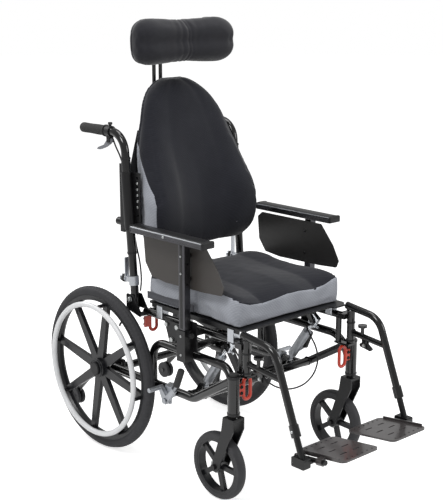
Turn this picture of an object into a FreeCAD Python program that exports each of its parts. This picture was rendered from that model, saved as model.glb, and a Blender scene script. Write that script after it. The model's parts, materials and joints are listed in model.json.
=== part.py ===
import FreeCAD, Part
import math
import os

# Tilt-in-space wheelchair, in millimetres.
# +X is the user's left, -Y is forward, +Z is up, and the floor is Z = 0.
# Side views are drawn in (f, z), where f is the distance forward of the rear axle.

# Rear wheels
wheel_radius = 260.0
wheel_plane_x = 262.0
tyre_width = 35.0
rim_outer_radius = 232.0
rim_depth = 17.0
rim_width = 26.0
spoke_count = 8
spoke_width = 20.0
spoke_thickness = 14.0
wheel_hub_radius = 30.0
wheel_hub_length = 38.0
wheel_bore_radius = 6.4
running_clearance = 0.05
handrim_radius = 207.0
handrim_tube_radius = 8.5
handrim_offset = 33.0
handrim_tab_radius = 6.0

# Casters
caster_radius = 100.0
caster_stem_x = 247.0
caster_stem_f = 595.0
caster_trail = 58.0
caster_tyre_width = 30.0
caster_tyre_depth = 17.0
caster_rim_depth = 9.0
caster_spoke_count = 5
caster_hub_radius = 19.0
caster_stem_radius = 7.9
fork_top_z = 262.0
fork_plate = 4.0
fork_gap = 3.0
fork_plate_width = 42.0

# Base frame
frame_tube_radius = 12.5
tube_wall = 2.0
base_tube_x = 229.0
base_top_z = 394.0
base_low_z = 260.0
base_bend_radius = 55.0
rear_leg_f = 222.0
base_low_front_f = 409.0
housing_radius = 17.0
housing_bottom_z = 269.0
housing_top_z = 383.0
axle_plate_thickness = 8.0
rear_cross_f = 45.0
middle_cross_f = 378.0
front_cross_f = 440.0
anti_tip_x = 194.0
anti_tip_tube_radius = 11.0
anti_tip_roller_radius = 28.0
anti_tip_roller_f = -229.0
anti_tip_roller_z = 84.0
lock_pivot_f = 310.0
lock_pivot_z = 233.0
loop_bar_radius = 5.0
loop_height = 74.0
loop_width = 36.0

# Seat frame, which tilts on two pivots
tilt_pivot_f = 322.0
tilt_pivot_z = 422.0
pivot_pin_radius = 6.0
rail_x = 203.0
rail_radius = 11.0
rail_z = 466.0
rail_rear_f = 157.0
rail_front_f = 590.0
tilt_plate_thickness = 4.0
tilt_plate_gap = 0.6
seat_cross_rear_f = 172.0
seat_cross_front_f = 480.0
seat_pan_top_z = 505.0
seat_pan_thickness = 4.0
seat_pan_half_width = 213.0
seat_pan_rear_f = 180.0
seat_pan_front_f = 598.0

# Seat cushion
cushion_half_width = 215.0
cushion_rear_f = 172.0
cushion_front_f = 579.0
cushion_side_height = 84.0
cushion_gap = 0.6

# Armrests
arm_post_x = 259.0
arm_post_f = 404.0
arm_post_size = 25.0
arm_socket_clearance = 0.4
arm_socket_wall = 3.0
arm_socket_bottom_z = 382.0
arm_socket_top_z = 475.0
arm_pad_top_z = 750.0
arm_pad_height = 22.0
arm_pad_width = 46.0
arm_pad_front_f = 507.0
arm_pad_rear_f = 183.0
skirt_x = 236.0
skirt_thickness = 3.0

# Gas springs
spring_x = 178.0
spring_foot_f = 400.0
spring_foot_z = 288.0
spring_head_f = 505.0
spring_head_z = 438.0
spring_cylinder_radius = 14.0
spring_cylinder_length = 112.0
spring_rod_radius = 5.0
spring_pin_radius = 4.0
spring_eye_play = 7.0

# Leg rests
hanger_x = 217.0
hanger_post_f = 616.0
hanger_top_z = 496.0
hanger_post_radius = 12.0
hanger_tube_radius = 11.0
hanger_pin_radius = 9.0
hanger_post_bottom_z = 384.0
hanger_knee_f = 734.0
hanger_foot_f = 808.0
hanger_foot_z = 260.0
hanger_bend_radius = 62.0
strut_z = 411.0
latch_reach = 58.0
extension_radius = 8.9
footplate_hinge_f = 836.0
footplate_hinge_z = 196.0
footplate_length = 172.0
footplate_width = 140.0
footplate_inner_x = 30.0
footplate_thickness = 6.0
footplate_slope = 7.0
footplate_rise = 11.0

# Backrest
cane_x = 222.0
cane_radius = 12.5
back_pivot_f = 131.0
back_pivot_z = 505.0
back_lean = 4.6
shell_low_z = 700.0
shell_high_z = 1010.0
shell_low_f = 128.0
shell_high_f = 83.0
shell_thickness = 3.0
shell_shoulder_z = 900.0
shell_corner = 44.0
soft_gap = 0.3
cane_straight_top_z = 930.0
handle_bend_radius = 62.0
handle_z = 1004.0
grip_rear_f = -112.0
grip_length = 118.0
grip_radius = 15.5
trigger_length = 92.0

# Headrest
head_post_f = -20.0
head_post_radius = 6.0
head_post_spacing = 26.0
head_pad_half_width = 196.0
head_pad_height = 148.0
head_pad_depth = 66.0
head_pad_f = 102.0
head_pad_z = 1268.0

# Everything is placed so that the box around the part is centred on X and Y.
slope_angle = math.radians(footplate_slope)
front_reach_f = footplate_hinge_f + 0.62 * footplate_length * math.cos(slope_angle) \
    - (footplate_rise - footplate_thickness) * math.sin(slope_angle)
axle_y = (front_reach_f - wheel_radius) / 2.0


def at(x, f, z):
    return FreeCAD.Vector(x, axle_y - f, z)


def along(f, z):
    """A direction in the side view, given as steps forward and up."""
    return FreeCAD.Vector(0, -f, z)


left = FreeCAD.Vector(1, 0, 0)
up = FreeCAD.Vector(0, 0, 1)


def box(x0, x1, f0, f1, z0, z1):
    return Part.makeBox(x1 - x0, f1 - f0, z1 - z0, at(x0, f1, z0))


def rod(start, end, radius):
    way = end - start
    return Part.makeCylinder(radius, way.Length, start, way)


def cross_rod(x0, x1, f, z, radius):
    return rod(at(x0, f, z), at(x1, f, z), radius)


def eased(shape, radius, keep=lambda edge: True):
    """Rounds the chosen edges of a solid."""
    edges = [edge for edge in shape.Edges if keep(edge)]
    return shape.makeFillet(radius, edges)


def lies_along(edge, direction):
    if not isinstance(edge.Curve, Part.Line):
        return False
    return abs(abs(edge.Curve.Direction.dot(direction)) - 1.0) < 1e-6


def rounded_path(points, radius):
    """Straight runs joined by tangent arcs."""
    edges = []
    here = points[0]
    for corner, after in zip(points[1:-1], points[2:]):
        back = (here - corner).normalize()
        ahead = (after - corner).normalize()
        turn = math.pi - back.getAngle(ahead)
        reach = radius * math.tan(turn / 2.0)
        enter = corner + back * reach
        leave = corner + ahead * reach
        inward = (back + ahead).normalize()
        sagitta = radius / math.cos(turn / 2.0) - radius
        edges.append(Part.LineSegment(here, enter).toShape())
        edges.append(Part.Arc(enter, corner + inward * sagitta, leave).toShape())
        here = leave
    edges.append(Part.LineSegment(here, points[-1]).toShape())
    return Part.Wire(edges)


def swept(points, bend_radius, radius):
    """A round bar along a bent path."""
    way = points[1] - points[0]
    ring = Part.Wire(Part.makeCircle(radius, points[0], way))
    path = Part.Wire(Part.LineSegment(points[0], points[1]).toShape())
    if len(points) > 2:
        path = rounded_path(points, bend_radius)
    return path.makePipeShell([ring], True, True)


def joined(shapes):
    whole = shapes[0]
    if len(shapes) > 1:
        whole = shapes[0].fuse(shapes[1:])
    return whole.removeSplitter()


def mirrored(shape):
    return shape.mirror(FreeCAD.Vector(0, 0, 0), left)


def pair(shape):
    """The left-hand piece and its right-hand twin, as separate solids."""
    return Part.makeCompound(shape.Solids + mirrored(shape).Solids)


def side_plate(outline, x0, x1, corner=0.0):
    """A flat plate drawn in the side view, between two X positions."""
    points = [at(x0, f, z) for f, z in outline]
    face = Part.Face(Part.makePolygon(points + points[:1]))
    plate = face.extrude(FreeCAD.Vector(x1 - x0, 0, 0))
    if corner > 0.0:
        plate = eased(plate, corner, lambda edge: lies_along(edge, left))
    return plate


def turned(profile, centre, degrees=360.0):
    """Revolves a closed outline of (x, radius) about an axis along X."""
    points = [centre + FreeCAD.Vector(x, 0, r) for x, r in profile]
    face = Part.Face(Part.makePolygon(points + points[:1]))
    return face.revolve(centre, left, degrees)


def around(shape, centre, count, phase=0.0):
    """Copies of a shape, evenly spaced about an axis along X."""
    copies = []
    for index in range(count):
        copy = shape.copy()
        copy.rotate(centre, left, phase + index * 360.0 / count)
        copies.append(copy)
    return copies


def hex_head(centre, direction, across, height):
    radius = across / math.sqrt(3.0)
    prism = Part.makeCylinder(radius, height, centre, direction)
    sides = Part.Face(Part.makePolygon([
        FreeCAD.Vector(radius * math.cos(a), radius * math.sin(a), 0)
        for a in [math.radians(60 * k) for k in range(7)]
    ])).extrude(FreeCAD.Vector(0, 0, height))
    turn = FreeCAD.Rotation(up, direction)
    sides.Placement = FreeCAD.Placement(centre, turn)
    return prism.common(sides)


def rear_wheel():
    """The left rear wheel: tyre, spoked wheel and handrim."""
    centre = at(wheel_plane_x, 0, wheel_radius)
    tyre_major = wheel_radius - tyre_width / 2.0
    tyre = Part.makeTorus(tyre_major, tyre_width / 2.0, centre, left)
    seat = cross_rod(wheel_plane_x - tyre_width, wheel_plane_x + tyre_width, 0, wheel_radius,
                     rim_outer_radius)
    tyre = tyre.cut(seat)
    half = rim_width / 2.0
    inner = rim_outer_radius - rim_depth
    rim = turned([(-half, rim_outer_radius), (half, rim_outer_radius), (half, inner + 4.0),
                  (half - 7.0, inner), (7.0 - half, inner), (-half, inner + 4.0)], centre)
    hub_half = wheel_hub_length / 2.0
    hub = turned([(-hub_half, 0.0), (-hub_half, wheel_hub_radius - 8.0), (-half, wheel_hub_radius),
                  (half, wheel_hub_radius), (hub_half, wheel_hub_radius - 6.0), (hub_half, 0.0)], centre)
    spoke = Part.Face(Part.makePolygon([
        centre + FreeCAD.Vector(-spoke_thickness / 2.0, -0.75 * spoke_width, wheel_hub_radius - 4.0),
        centre + FreeCAD.Vector(-spoke_thickness / 2.0, 0.75 * spoke_width, wheel_hub_radius - 4.0),
        centre + FreeCAD.Vector(-spoke_thickness / 2.0, 0.5 * spoke_width, inner + 3.0),
        centre + FreeCAD.Vector(-spoke_thickness / 2.0, -0.5 * spoke_width, inner + 3.0),
        centre + FreeCAD.Vector(-spoke_thickness / 2.0, -0.75 * spoke_width, wheel_hub_radius - 4.0),
    ])).extrude(FreeCAD.Vector(spoke_thickness, 0, 0))
    tab_z = wheel_radius + handrim_radius + 9.0
    tab = cross_rod(wheel_plane_x + half - 3.0, wheel_plane_x + handrim_offset, 0, tab_z,
                    handrim_tab_radius)
    spokes = around(spoke, centre, spoke_count, 11.0)
    tabs = around(tab, centre, spoke_count, 11.0)
    handrim_centre = at(wheel_plane_x + handrim_offset, 0, wheel_radius)
    handrim = Part.makeTorus(handrim_radius, handrim_tube_radius, handrim_centre, left)
    wheel = joined([rim, hub] + spokes + tabs).cut(handrim)
    bore = cross_rod(wheel_plane_x - hub_half - 1.0, wheel_plane_x + hub_half + 1.0, 0, wheel_radius,
                     wheel_bore_radius)
    return tyre, wheel.cut(bore), handrim


def rear_axle():
    """The left axle: a pin through the plate and the hub, with a cap outside and a nut inside."""
    pin_radius = wheel_bore_radius - running_clearance
    plate_x = base_tube_x - frame_tube_radius
    outer = wheel_plane_x + wheel_hub_length / 2.0
    pin = cross_rod(plate_x - 14.0, outer + 1.0, 0, wheel_radius, pin_radius)
    cap = cross_rod(outer + 0.3, outer + 8.0, 0, wheel_radius, wheel_hub_radius - 9.0)
    cap = eased(cap, 3.0, lambda edge: abs(edge.BoundBox.XMax - outer - 8.0) < 0.01)
    nut = hex_head(at(plate_x - 10.0, 0, wheel_radius), left, 19.0, 10.0)
    return joined([pin, cap, nut])


def caster():
    """The left caster: fork with its stem, axle bolt, spoked wheel and tyre."""
    axle_f = caster_stem_f - caster_trail
    centre = at(caster_stem_x, axle_f, caster_radius)
    half = caster_tyre_width / 2.0
    rim_outer = caster_radius - caster_tyre_depth
    shoulder = caster_radius - 6.0
    inner_low, inner_high = centre + left * -half + up * rim_outer, centre + left * half + up * rim_outer
    outer_low, outer_high = centre + left * -half + up * shoulder, centre + left * half + up * shoulder
    section = Part.Wire([
        Part.LineSegment(outer_low, inner_low).toShape(),
        Part.LineSegment(inner_low, inner_high).toShape(),
        Part.LineSegment(inner_high, outer_high).toShape(),
        Part.Arc(outer_high, centre + up * caster_radius, outer_low).toShape(),
    ])
    tyre = Part.Face(section).revolve(centre, left, 360.0)
    rim_inner = rim_outer - caster_rim_depth
    rim = turned([(1.0 - half, rim_inner), (half - 1.0, rim_inner), (half - 1.0, rim_outer),
                  (1.0 - half, rim_outer)], centre)
    hub = cross_rod(caster_stem_x - half - 2.0, caster_stem_x + half + 2.0, axle_f, caster_radius,
                    caster_hub_radius)
    spoke = box(caster_stem_x - 6.0, caster_stem_x + 6.0, axle_f - 7.5, axle_f + 7.5,
                caster_radius + caster_hub_radius - 3.0, caster_radius + rim_inner + 2.0)
    spokes = around(spoke, centre, caster_spoke_count, 20.0)
    bolt_radius = 5.0
    wheel = joined([rim, hub] + spokes)
    wheel = wheel.cut(cross_rod(caster_stem_x - 30.0, caster_stem_x + 30.0, axle_f, caster_radius,
                                bolt_radius + running_clearance))
    inner = half + fork_gap
    outer = inner + fork_plate
    w = fork_plate_width / 2.0
    outline = [(axle_f - 14.0, caster_radius - 12.0), (axle_f + 12.0, caster_radius - 14.0),
               (caster_stem_f + w, fork_top_z - 34.0), (caster_stem_f + w, fork_top_z),
               (caster_stem_f - w, fork_top_z), (caster_stem_f - w - 6.0, fork_top_z - 40.0)]
    cheeks = []
    for sign in (-1.0, 1.0):
        x0 = caster_stem_x + min(sign * inner, sign * outer)
        cheeks.append(side_plate(outline, x0, x0 + fork_plate, 8.0))
    crown = box(caster_stem_x - outer, caster_stem_x + outer, caster_stem_f - w, caster_stem_f + w,
                fork_top_z - 8.0, fork_top_z)
    stem = rod(at(caster_stem_x, caster_stem_f, fork_top_z - 4.0),
               at(caster_stem_x, caster_stem_f, housing_top_z + 3.0), caster_stem_radius)
    washer = rod(at(caster_stem_x, caster_stem_f, fork_top_z - 1.0),
                 at(caster_stem_x, caster_stem_f, housing_bottom_z - 0.3), 13.0)
    fork = joined(cheeks + [crown, stem, washer])
    fork = fork.cut(cross_rod(caster_stem_x - 40.0, caster_stem_x + 40.0, axle_f, caster_radius,
                              bolt_radius))
    bolt = cross_rod(caster_stem_x - outer - 6.0, caster_stem_x + outer + 1.0, axle_f, caster_radius,
                     bolt_radius)
    head = hex_head(at(caster_stem_x + outer, axle_f, caster_radius), left, 15.0, 6.0)
    nut = hex_head(at(caster_stem_x - outer - 6.0, axle_f, caster_radius), left, 15.0, 6.0)
    dome = rod(at(caster_stem_x, caster_stem_f, housing_top_z + 0.4),
               at(caster_stem_x, caster_stem_f, housing_top_z + 7.0), 12.0)
    fork = Part.makeCompound([fork.cut(dome), joined([bolt, head, nut]), dome])
    return fork, wheel, tyre


def base_side_frame(side):
    """One side of the base, left at side 1 and right at -1: arch tube, low bar and caster housing."""
    x = side * base_tube_x
    stem_x = side * caster_stem_x
    end_x = side * (caster_stem_x - 4.0)
    low_rear_f = -34.0
    arch = [at(x, rear_leg_f, base_low_z), at(x, rear_leg_f, base_top_z),
            at(x, caster_stem_f - 28.0, base_top_z),
            at(end_x, caster_stem_f - 12.0, housing_bottom_z + 60.0)]
    low = [at(x, low_rear_f, base_low_z), at(x, base_low_front_f, base_low_z),
           at(end_x, caster_stem_f - 8.0, housing_top_z - 16.0)]
    outer = [swept(arch, base_bend_radius, frame_tube_radius),
             swept(low, base_bend_radius, frame_tube_radius)]
    inner_radius = frame_tube_radius - tube_wall
    inner = [swept(arch, base_bend_radius, inner_radius), swept(low, base_bend_radius, inner_radius)]
    housing = rod(at(stem_x, caster_stem_f, housing_bottom_z),
                  at(stem_x, caster_stem_f, housing_top_z), housing_radius)
    plug = rod(at(x, low_rear_f, base_low_z), at(x, low_rear_f + 4.0, base_low_z), frame_tube_radius)
    pivot_lug = side_plate([(tilt_pivot_f - 22.0, base_top_z + 4.0),
                            (tilt_pivot_f + 22.0, base_top_z + 4.0),
                            (tilt_pivot_f + 13.0, tilt_pivot_z + 13.0),
                            (tilt_pivot_f - 13.0, tilt_pivot_z + 13.0)],
                           x - 4.0, x + 4.0)
    pin_bore = cross_rod(x - 20.0, x + 20.0, tilt_pivot_f, tilt_pivot_z,
                         pivot_pin_radius + running_clearance)
    stem_bore = rod(at(stem_x, caster_stem_f, housing_bottom_z - 5.0),
                    at(stem_x, caster_stem_f, housing_top_z + 5.0),
                    caster_stem_radius + running_clearance)
    axle_bore = cross_rod(x - 30.0, x + 30.0, 0, wheel_radius, wheel_bore_radius - running_clearance)
    frame = joined(outer).cut(joined(inner))
    frame = joined([frame, housing, plug, pivot_lug])
    return frame.cut(Part.makeCompound([pin_bore, stem_bore, axle_bore]))


def axle_plate():
    """The left axle plate, clamped on the inner side of the low bar, with a row of spare holes."""
    x1 = base_tube_x - frame_tube_radius
    x0 = x1 - axle_plate_thickness
    z = base_low_z
    plate = side_plate([(-34.0, z - 26.0), (60.0, z - 26.0), (60.0, z + 26.0), (-34.0, z + 26.0)], x0, x1,
                       8.0)
    holes = [cross_rod(x0 - 1.0, x1 + 1.0, f, z, wheel_bore_radius - running_clearance) for f in (0.0,
                                                                                                  25.0)]
    saddle = box(x0 + 2.0, x1 + 6.0, 36.0, 56.0, z - 20.0, z + 20.0)
    tube = rod(at(base_tube_x, -60.0, z), at(base_tube_x, 90.0, z), frame_tube_radius)
    return joined([plate, saddle.cut(tube)]).cut(Part.makeCompound(holes))


def cross_tubes():
    """Three cross tubes between the side frames, with lugs for the gas springs and sockets for the anti-tippers."""
    shapes = []
    reach = base_tube_x
    rise = (housing_top_z - 16.0 - base_low_z) / (caster_stem_f - 8.0 - base_low_front_f)
    front_z = base_low_z + rise * (front_cross_f - base_low_front_f)
    for f, z in ((rear_cross_f, base_low_z), (middle_cross_f, base_low_z), (front_cross_f, front_z)):
        shapes.append(cross_rod(-reach, reach, f, z, frame_tube_radius))
    for sign in (-1.0, 1.0):
        for side in (-1.0, 1.0):
            gap = 11.0
            x = sign * spring_x + side * gap
            lug = side_plate([(middle_cross_f - 10.0, base_low_z + 4.0),
                              (middle_cross_f + 12.0, base_low_z - 2.0),
                              (spring_foot_f + 9.0, spring_foot_z + 9.0),
                              (spring_foot_f - 9.0, spring_foot_z + 9.0)],
                             x - 2.0, x + 2.0)
            shapes.append(lug)
        shapes.append(cross_rod(sign * spring_x - 14.0, sign * spring_x + 14.0, spring_foot_f,
                                spring_foot_z,
                                spring_pin_radius))
    sleeve = rod(at(anti_tip_x, rear_cross_f - 20.0, base_low_z - 26.0),
                 at(anti_tip_x, rear_cross_f + 34.0, base_low_z - 26.0), anti_tip_tube_radius + 3.0)
    shapes += [sleeve, mirrored(sleeve)]
    bore = rod(at(anti_tip_x, rear_cross_f - 60.0, base_low_z - 26.0),
               at(anti_tip_x, rear_cross_f + 60.0, base_low_z - 26.0), anti_tip_tube_radius + 0.2)
    tubes = joined(shapes).cut(Part.makeCompound([bore, mirrored(bore)]))
    return tubes


def side_frame_seats():
    """The room that the side frames and the axle plates take, for trimming what is welded to them."""
    x = base_tube_x
    low = rod(at(x, -100.0, base_low_z), at(x, base_low_front_f + 20.0, base_low_z), frame_tube_radius)
    slope = rod(at(x, base_low_front_f, base_low_z),
                at(caster_stem_x - 4.0, caster_stem_f - 8.0, housing_top_z - 16.0), frame_tube_radius)
    return pair(low.fuse(slope))


def anti_tipper():
    """The left anti-tipper: a bent tube with its axle, and the twin roller."""
    z = base_low_z - 26.0
    tube = swept([at(anti_tip_x, rear_cross_f + 34.0, z), at(anti_tip_x, rear_cross_f - 140.0, z),
                  at(anti_tip_x, anti_tip_roller_f + 22.0,
                     anti_tip_roller_z + 42.0)], 45.0, anti_tip_tube_radius)
    f, tongue_z = anti_tip_roller_f, anti_tip_roller_z
    tongue = side_plate([(f - 8.0, tongue_z - 9.0), (f + 8.0, tongue_z - 9.0),
                         (f + 31.0, tongue_z + 46.0),
                         (f + 14.0, tongue_z + 52.0)], anti_tip_x - 3.0, anti_tip_x + 3.0)
    axle = cross_rod(anti_tip_x - 17.0, anti_tip_x + 17.0, anti_tip_roller_f, anti_tip_roller_z, 4.0)
    caps = [cross_rod(anti_tip_x + side * 16.0 - 1.5, anti_tip_x + side * 16.0 + 1.5, anti_tip_roller_f,
                      anti_tip_roller_z, 7.0) for side in (-1.0, 1.0)]
    rollers = []
    for side in (-1.0, 1.0):
        x = anti_tip_x + side * 9.0
        roller = cross_rod(x - 5.2, x + 5.2, anti_tip_roller_f, anti_tip_roller_z, anti_tip_roller_radius)
        roller = eased(roller, 3.0, lambda edge: edge.BoundBox.ZMax > anti_tip_roller_z + 20.0)
        rollers.append(roller.cut(cross_rod(x - 9.0, x + 9.0, anti_tip_roller_f, anti_tip_roller_z,
                                            4.0 + running_clearance)))
    return joined([tube, tongue, axle] + caps), Part.makeCompound(rollers)


def tie_down_loop(centre, tilt):
    """An oval ring with a tab for its two bolts, standing across the seat's width."""
    straight = (loop_height - loop_width) / 2.0
    r = loop_width / 2.0 - loop_bar_radius
    points = [centre + left * r + up * straight, centre + left * -r + up * straight,
              centre + left * -r - up * straight, centre + left * r - up * straight]
    sides = [Part.LineSegment(points[1], points[2]).toShape(),
             Part.LineSegment(points[3], points[0]).toShape()]
    top = Part.Arc(points[0], centre + up * (straight + r), points[1]).toShape()
    bottom = Part.Arc(points[2], centre - up * (straight + r), points[3]).toShape()
    path = Part.Wire([top, sides[0], bottom, sides[1]])
    ring = Part.Wire(Part.makeCircle(loop_bar_radius, points[1], up))
    loop = Part.Wire([sides[0], bottom, sides[1], top]).makePipeShell([ring], True, False)
    tab = Part.makeBox(20.0, 8.0, 34.0, centre + left * (r + 1.0) + FreeCAD.Vector(0, -4.0, -17.0))
    loop = joined([loop, tab])
    loop.rotate(centre, up, tilt)
    return loop


def wheel_lock():
    """The left wheel lock: clamp on the low bar, lever with its tyre bar, and grip."""
    pivot_f, pivot_z = lock_pivot_f, lock_pivot_z
    bar_f, bar_z = pivot_f - 24.0, pivot_z + 35.0
    grip_low = at(271.0, 378.0, 300.0)
    grip_high = at(271.0, 402.0, 356.0)
    inner_x = base_tube_x - frame_tube_radius - 3.0
    clamp = box(inner_x, base_tube_x + frame_tube_radius + 3.0, pivot_f - 15.0, pivot_f + 15.0,
                base_low_z - 17.0, base_low_z + 17.0)
    clamp = eased(clamp, 5.0, lambda edge: lies_along(edge, along(1.0, 0.0)))
    ear = side_plate([(pivot_f - 15.0, base_low_z), (pivot_f + 15.0, base_low_z),
                      (pivot_f + 12.0, pivot_z - 12.0), (pivot_f - 12.0, pivot_z - 12.0)],
                     base_tube_x + 12.0, base_tube_x + 17.0, 4.0)
    pin = cross_rod(base_tube_x + 12.0, base_tube_x + 33.0, pivot_f, pivot_z, 5.0)
    head = cross_rod(base_tube_x + 31.5, base_tube_x + 35.0, pivot_f, pivot_z, 8.0)
    tube = rod(at(base_tube_x, pivot_f - 60.0, base_low_z), at(base_tube_x, pivot_f + 60.0, base_low_z),
               frame_tube_radius + 0.02)
    body = joined([clamp, ear, pin, head]).cut(tube)
    x0 = base_tube_x + 18.0
    arm = side_plate([(bar_f - 8.0, bar_z + 4.0), (bar_f + 2.0, bar_z + 9.0),
                      (pivot_f + 4.0, pivot_z + 16.0),
                      (pivot_f + 34.0, pivot_z + 46.0), (pivot_f + 44.0, pivot_z + 38.0),
                      (pivot_f + 13.0, pivot_z),
                      (pivot_f + 2.0, pivot_z - 12.0), (pivot_f - 11.0, pivot_z - 4.0)], x0, x0 + 12.0)
    bar = cross_rod(x0, 299.0, bar_f, bar_z, 7.0)
    shank = swept([at(x0 + 6.0, pivot_f + 36.0, pivot_z + 40.0), grip_low,
                   grip_high - (grip_high - grip_low) * 0.1],
                  18.0, 4.5)
    grip = rod(grip_low, grip_high, 10.5)
    grip = eased(grip, 4.0)
    lever = joined([arm, bar, shank]).cut(cross_rod(x0 - 1.0, x0 + 20.0, pivot_f, pivot_z,
                                                    5.0 + running_clearance))
    return body, lever.cut(grip), grip


def seat_frame():
    """The tilting frame: two rails, two cross tubes, spring lugs and the hanger receivers."""
    shapes = []
    for sign in (-1.0, 1.0):
        x = sign * rail_x
        shapes.append(rod(at(x, rail_rear_f, rail_z), at(x, rail_front_f, rail_z), rail_radius))
        shelf_low, shelf_high = hanger_post_bottom_z - 7.0, hanger_post_bottom_z - 1.0
        drop = rod(at(x, rail_front_f - 10.0, rail_z), at(x, rail_front_f - 10.0, shelf_low + 1.0), 9.0)
        shelf = box(x - 9.0, x + 9.0, rail_front_f - 19.0, hanger_post_f + 12.0, shelf_low, shelf_high)
        nose = box(min(x, sign * (hanger_x + 10.0)), max(x, sign * (hanger_x + 10.0)),
                   hanger_post_f - 11.0, hanger_post_f + 12.0, shelf_low, shelf_high)
        shelf = shelf.fuse(nose)
        pin = rod(at(sign * hanger_x, hanger_post_f, hanger_post_bottom_z - 7.0),
                  at(sign * hanger_x, hanger_post_f, hanger_post_bottom_z + 50.0), hanger_pin_radius)
        saddle = box(min(x - 11.0, sign * hanger_x - 16.0), max(x + 11.0, sign * hanger_x + 16.0),
                     rail_front_f - 6.0, hanger_post_f - 6.0, rail_z - 8.0, rail_z + 8.0)
        room = rod(at(sign * hanger_x, hanger_post_f, rail_z - 30.0),
                   at(sign * hanger_x, hanger_post_f, rail_z + 30.0),
                   hanger_post_radius + 0.3)
        shapes += [drop, shelf, pin, saddle.cut(room)]
        for side in (-1.0, 1.0):
            lug_x = sign * spring_x + side * 11.0
            shapes.append(side_plate([(seat_cross_front_f - 10.0, rail_z),
                                      (seat_cross_front_f + 10.0, rail_z),
                                      (spring_head_f + 9.0, spring_head_z - 8.0),
                                      (spring_head_f - 9.0,
                                       spring_head_z - 8.0)], lug_x - 2.0, lug_x + 2.0))
        shapes.append(cross_rod(sign * spring_x - 14.0, sign * spring_x + 14.0, spring_head_f,
                                spring_head_z,
                                spring_pin_radius))
    for f in (seat_cross_rear_f, seat_cross_front_f):
        shapes.append(cross_rod(-rail_x, rail_x, f, rail_z, rail_radius - 0.5))
    return joined(shapes)


def tilt_plate():
    """The left triangular plate: bolted to the rail at two spacers, turning on its lower pin."""
    x0 = base_tube_x + 4.0 + tilt_plate_gap
    x1 = x0 + tilt_plate_thickness
    plate = side_plate([(tilt_pivot_f - 36.0, rail_z + 10.0), (tilt_pivot_f + 38.0, rail_z + 10.0),
                        (tilt_pivot_f + 13.0, tilt_pivot_z - 11.0),
                        (tilt_pivot_f - 13.0, tilt_pivot_z - 11.0)],
                       x0, x1, 6.0)
    shapes = [plate]
    rail = rod(at(rail_x, rail_rear_f, rail_z), at(rail_x, rail_front_f, rail_z), rail_radius)
    for f in (tilt_pivot_f - 23.0, tilt_pivot_f + 24.0):
        shapes.append(cross_rod(rail_x + 2.0, x0 + 1.0, f, rail_z - 2.0, 7.0).cut(rail))
        shapes.append(hex_head(at(x1, f, rail_z - 2.0), left, 13.0, 5.0))
    shapes.append(cross_rod(base_tube_x - 6.0, x1, tilt_pivot_f, tilt_pivot_z, pivot_pin_radius))
    shapes.append(hex_head(at(x1, tilt_pivot_f, tilt_pivot_z), left, 13.0, 5.0))
    shapes.append(cross_rod(base_tube_x - 8.0, base_tube_x - 4.3, tilt_pivot_f, tilt_pivot_z, 9.0))
    return joined(shapes)


def seat_pan():
    """The pressed seat pan with turned-down side lips."""
    z1 = seat_pan_top_z
    z0 = z1 - seat_pan_thickness
    pan = box(-seat_pan_half_width, seat_pan_half_width, seat_pan_rear_f, seat_pan_front_f, z0, z1)
    pan = eased(pan, 14.0, lambda edge: lies_along(edge, up))
    lips = []
    for sign in (-1.0, 1.0):
        x0 = sign * (seat_pan_half_width - 2.0)
        lips.append(box(x0 - 2.0, x0 + 2.0, seat_pan_rear_f + 20.0, seat_pan_front_f - 20.0, z0 - 10.0,
                        z0 + 1.0))
    tongue = box(146.0, 196.0, seat_pan_front_f - 4.0, seat_pan_front_f + 14.0, z0, z1)
    return joined([pan, tongue] + lips)


def seat_clamps():
    """Four clamps that hold the seat pan on the rails."""
    clamps = []
    for sign in (-1.0, 1.0):
        rail = rod(at(sign * rail_x, 0, rail_z), at(sign * rail_x, 700.0, rail_z), rail_radius + 0.02)
        for f in (238.0, 548.0):
            x = sign * rail_x
            clamp = box(x - 14.0, x + 14.0, f - 13.0, f + 13.0, rail_z - 3.0,
                        seat_pan_top_z - seat_pan_thickness - 0.02)
            clamp = eased(clamp, 3.0, lambda edge: lies_along(edge, up))
            clamps.append(clamp.cut(rail))
    return Part.makeCompound(clamps)


def arc_chain(points):
    """Arcs through each group of three points, each starting where the last one ended."""
    return [Part.Arc(points[k], points[k + 1], points[k + 2]).toShape() for k in range(0, len(points) - 2,
                                                                                       2)]


def seat_section(f, half, low, side, trough, middle):
    """One cross-section of the seat cushion at a distance f: heights of the side seam, leg trough and middle."""
    bulge = 3.0
    right_side = [at(half - bulge, f, low), at(half, f, (low + side) / 2.0),
                  at(half - 2.0 * bulge, f, side)]
    mid_x = 0.52 * half
    top_right = [right_side[2], at(0.78 * half, f, side + 0.62 * (trough - side) + 5.0),
                 at(mid_x, f, trough),
                 at(0.27 * half, f, (trough + middle) / 2.0 + 1.0), at(0, f, middle)]
    top_left = [FreeCAD.Vector(-p.x, p.y, p.z) for p in reversed(top_right)]
    left_side = [FreeCAD.Vector(-p.x, p.y, p.z) for p in reversed(right_side)]
    base = Part.LineSegment(left_side[-1], right_side[0]).toShape()
    return Part.Wire([base] + arc_chain(right_side + top_right[1:] + top_left[1:] + left_side[1:]))


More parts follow.
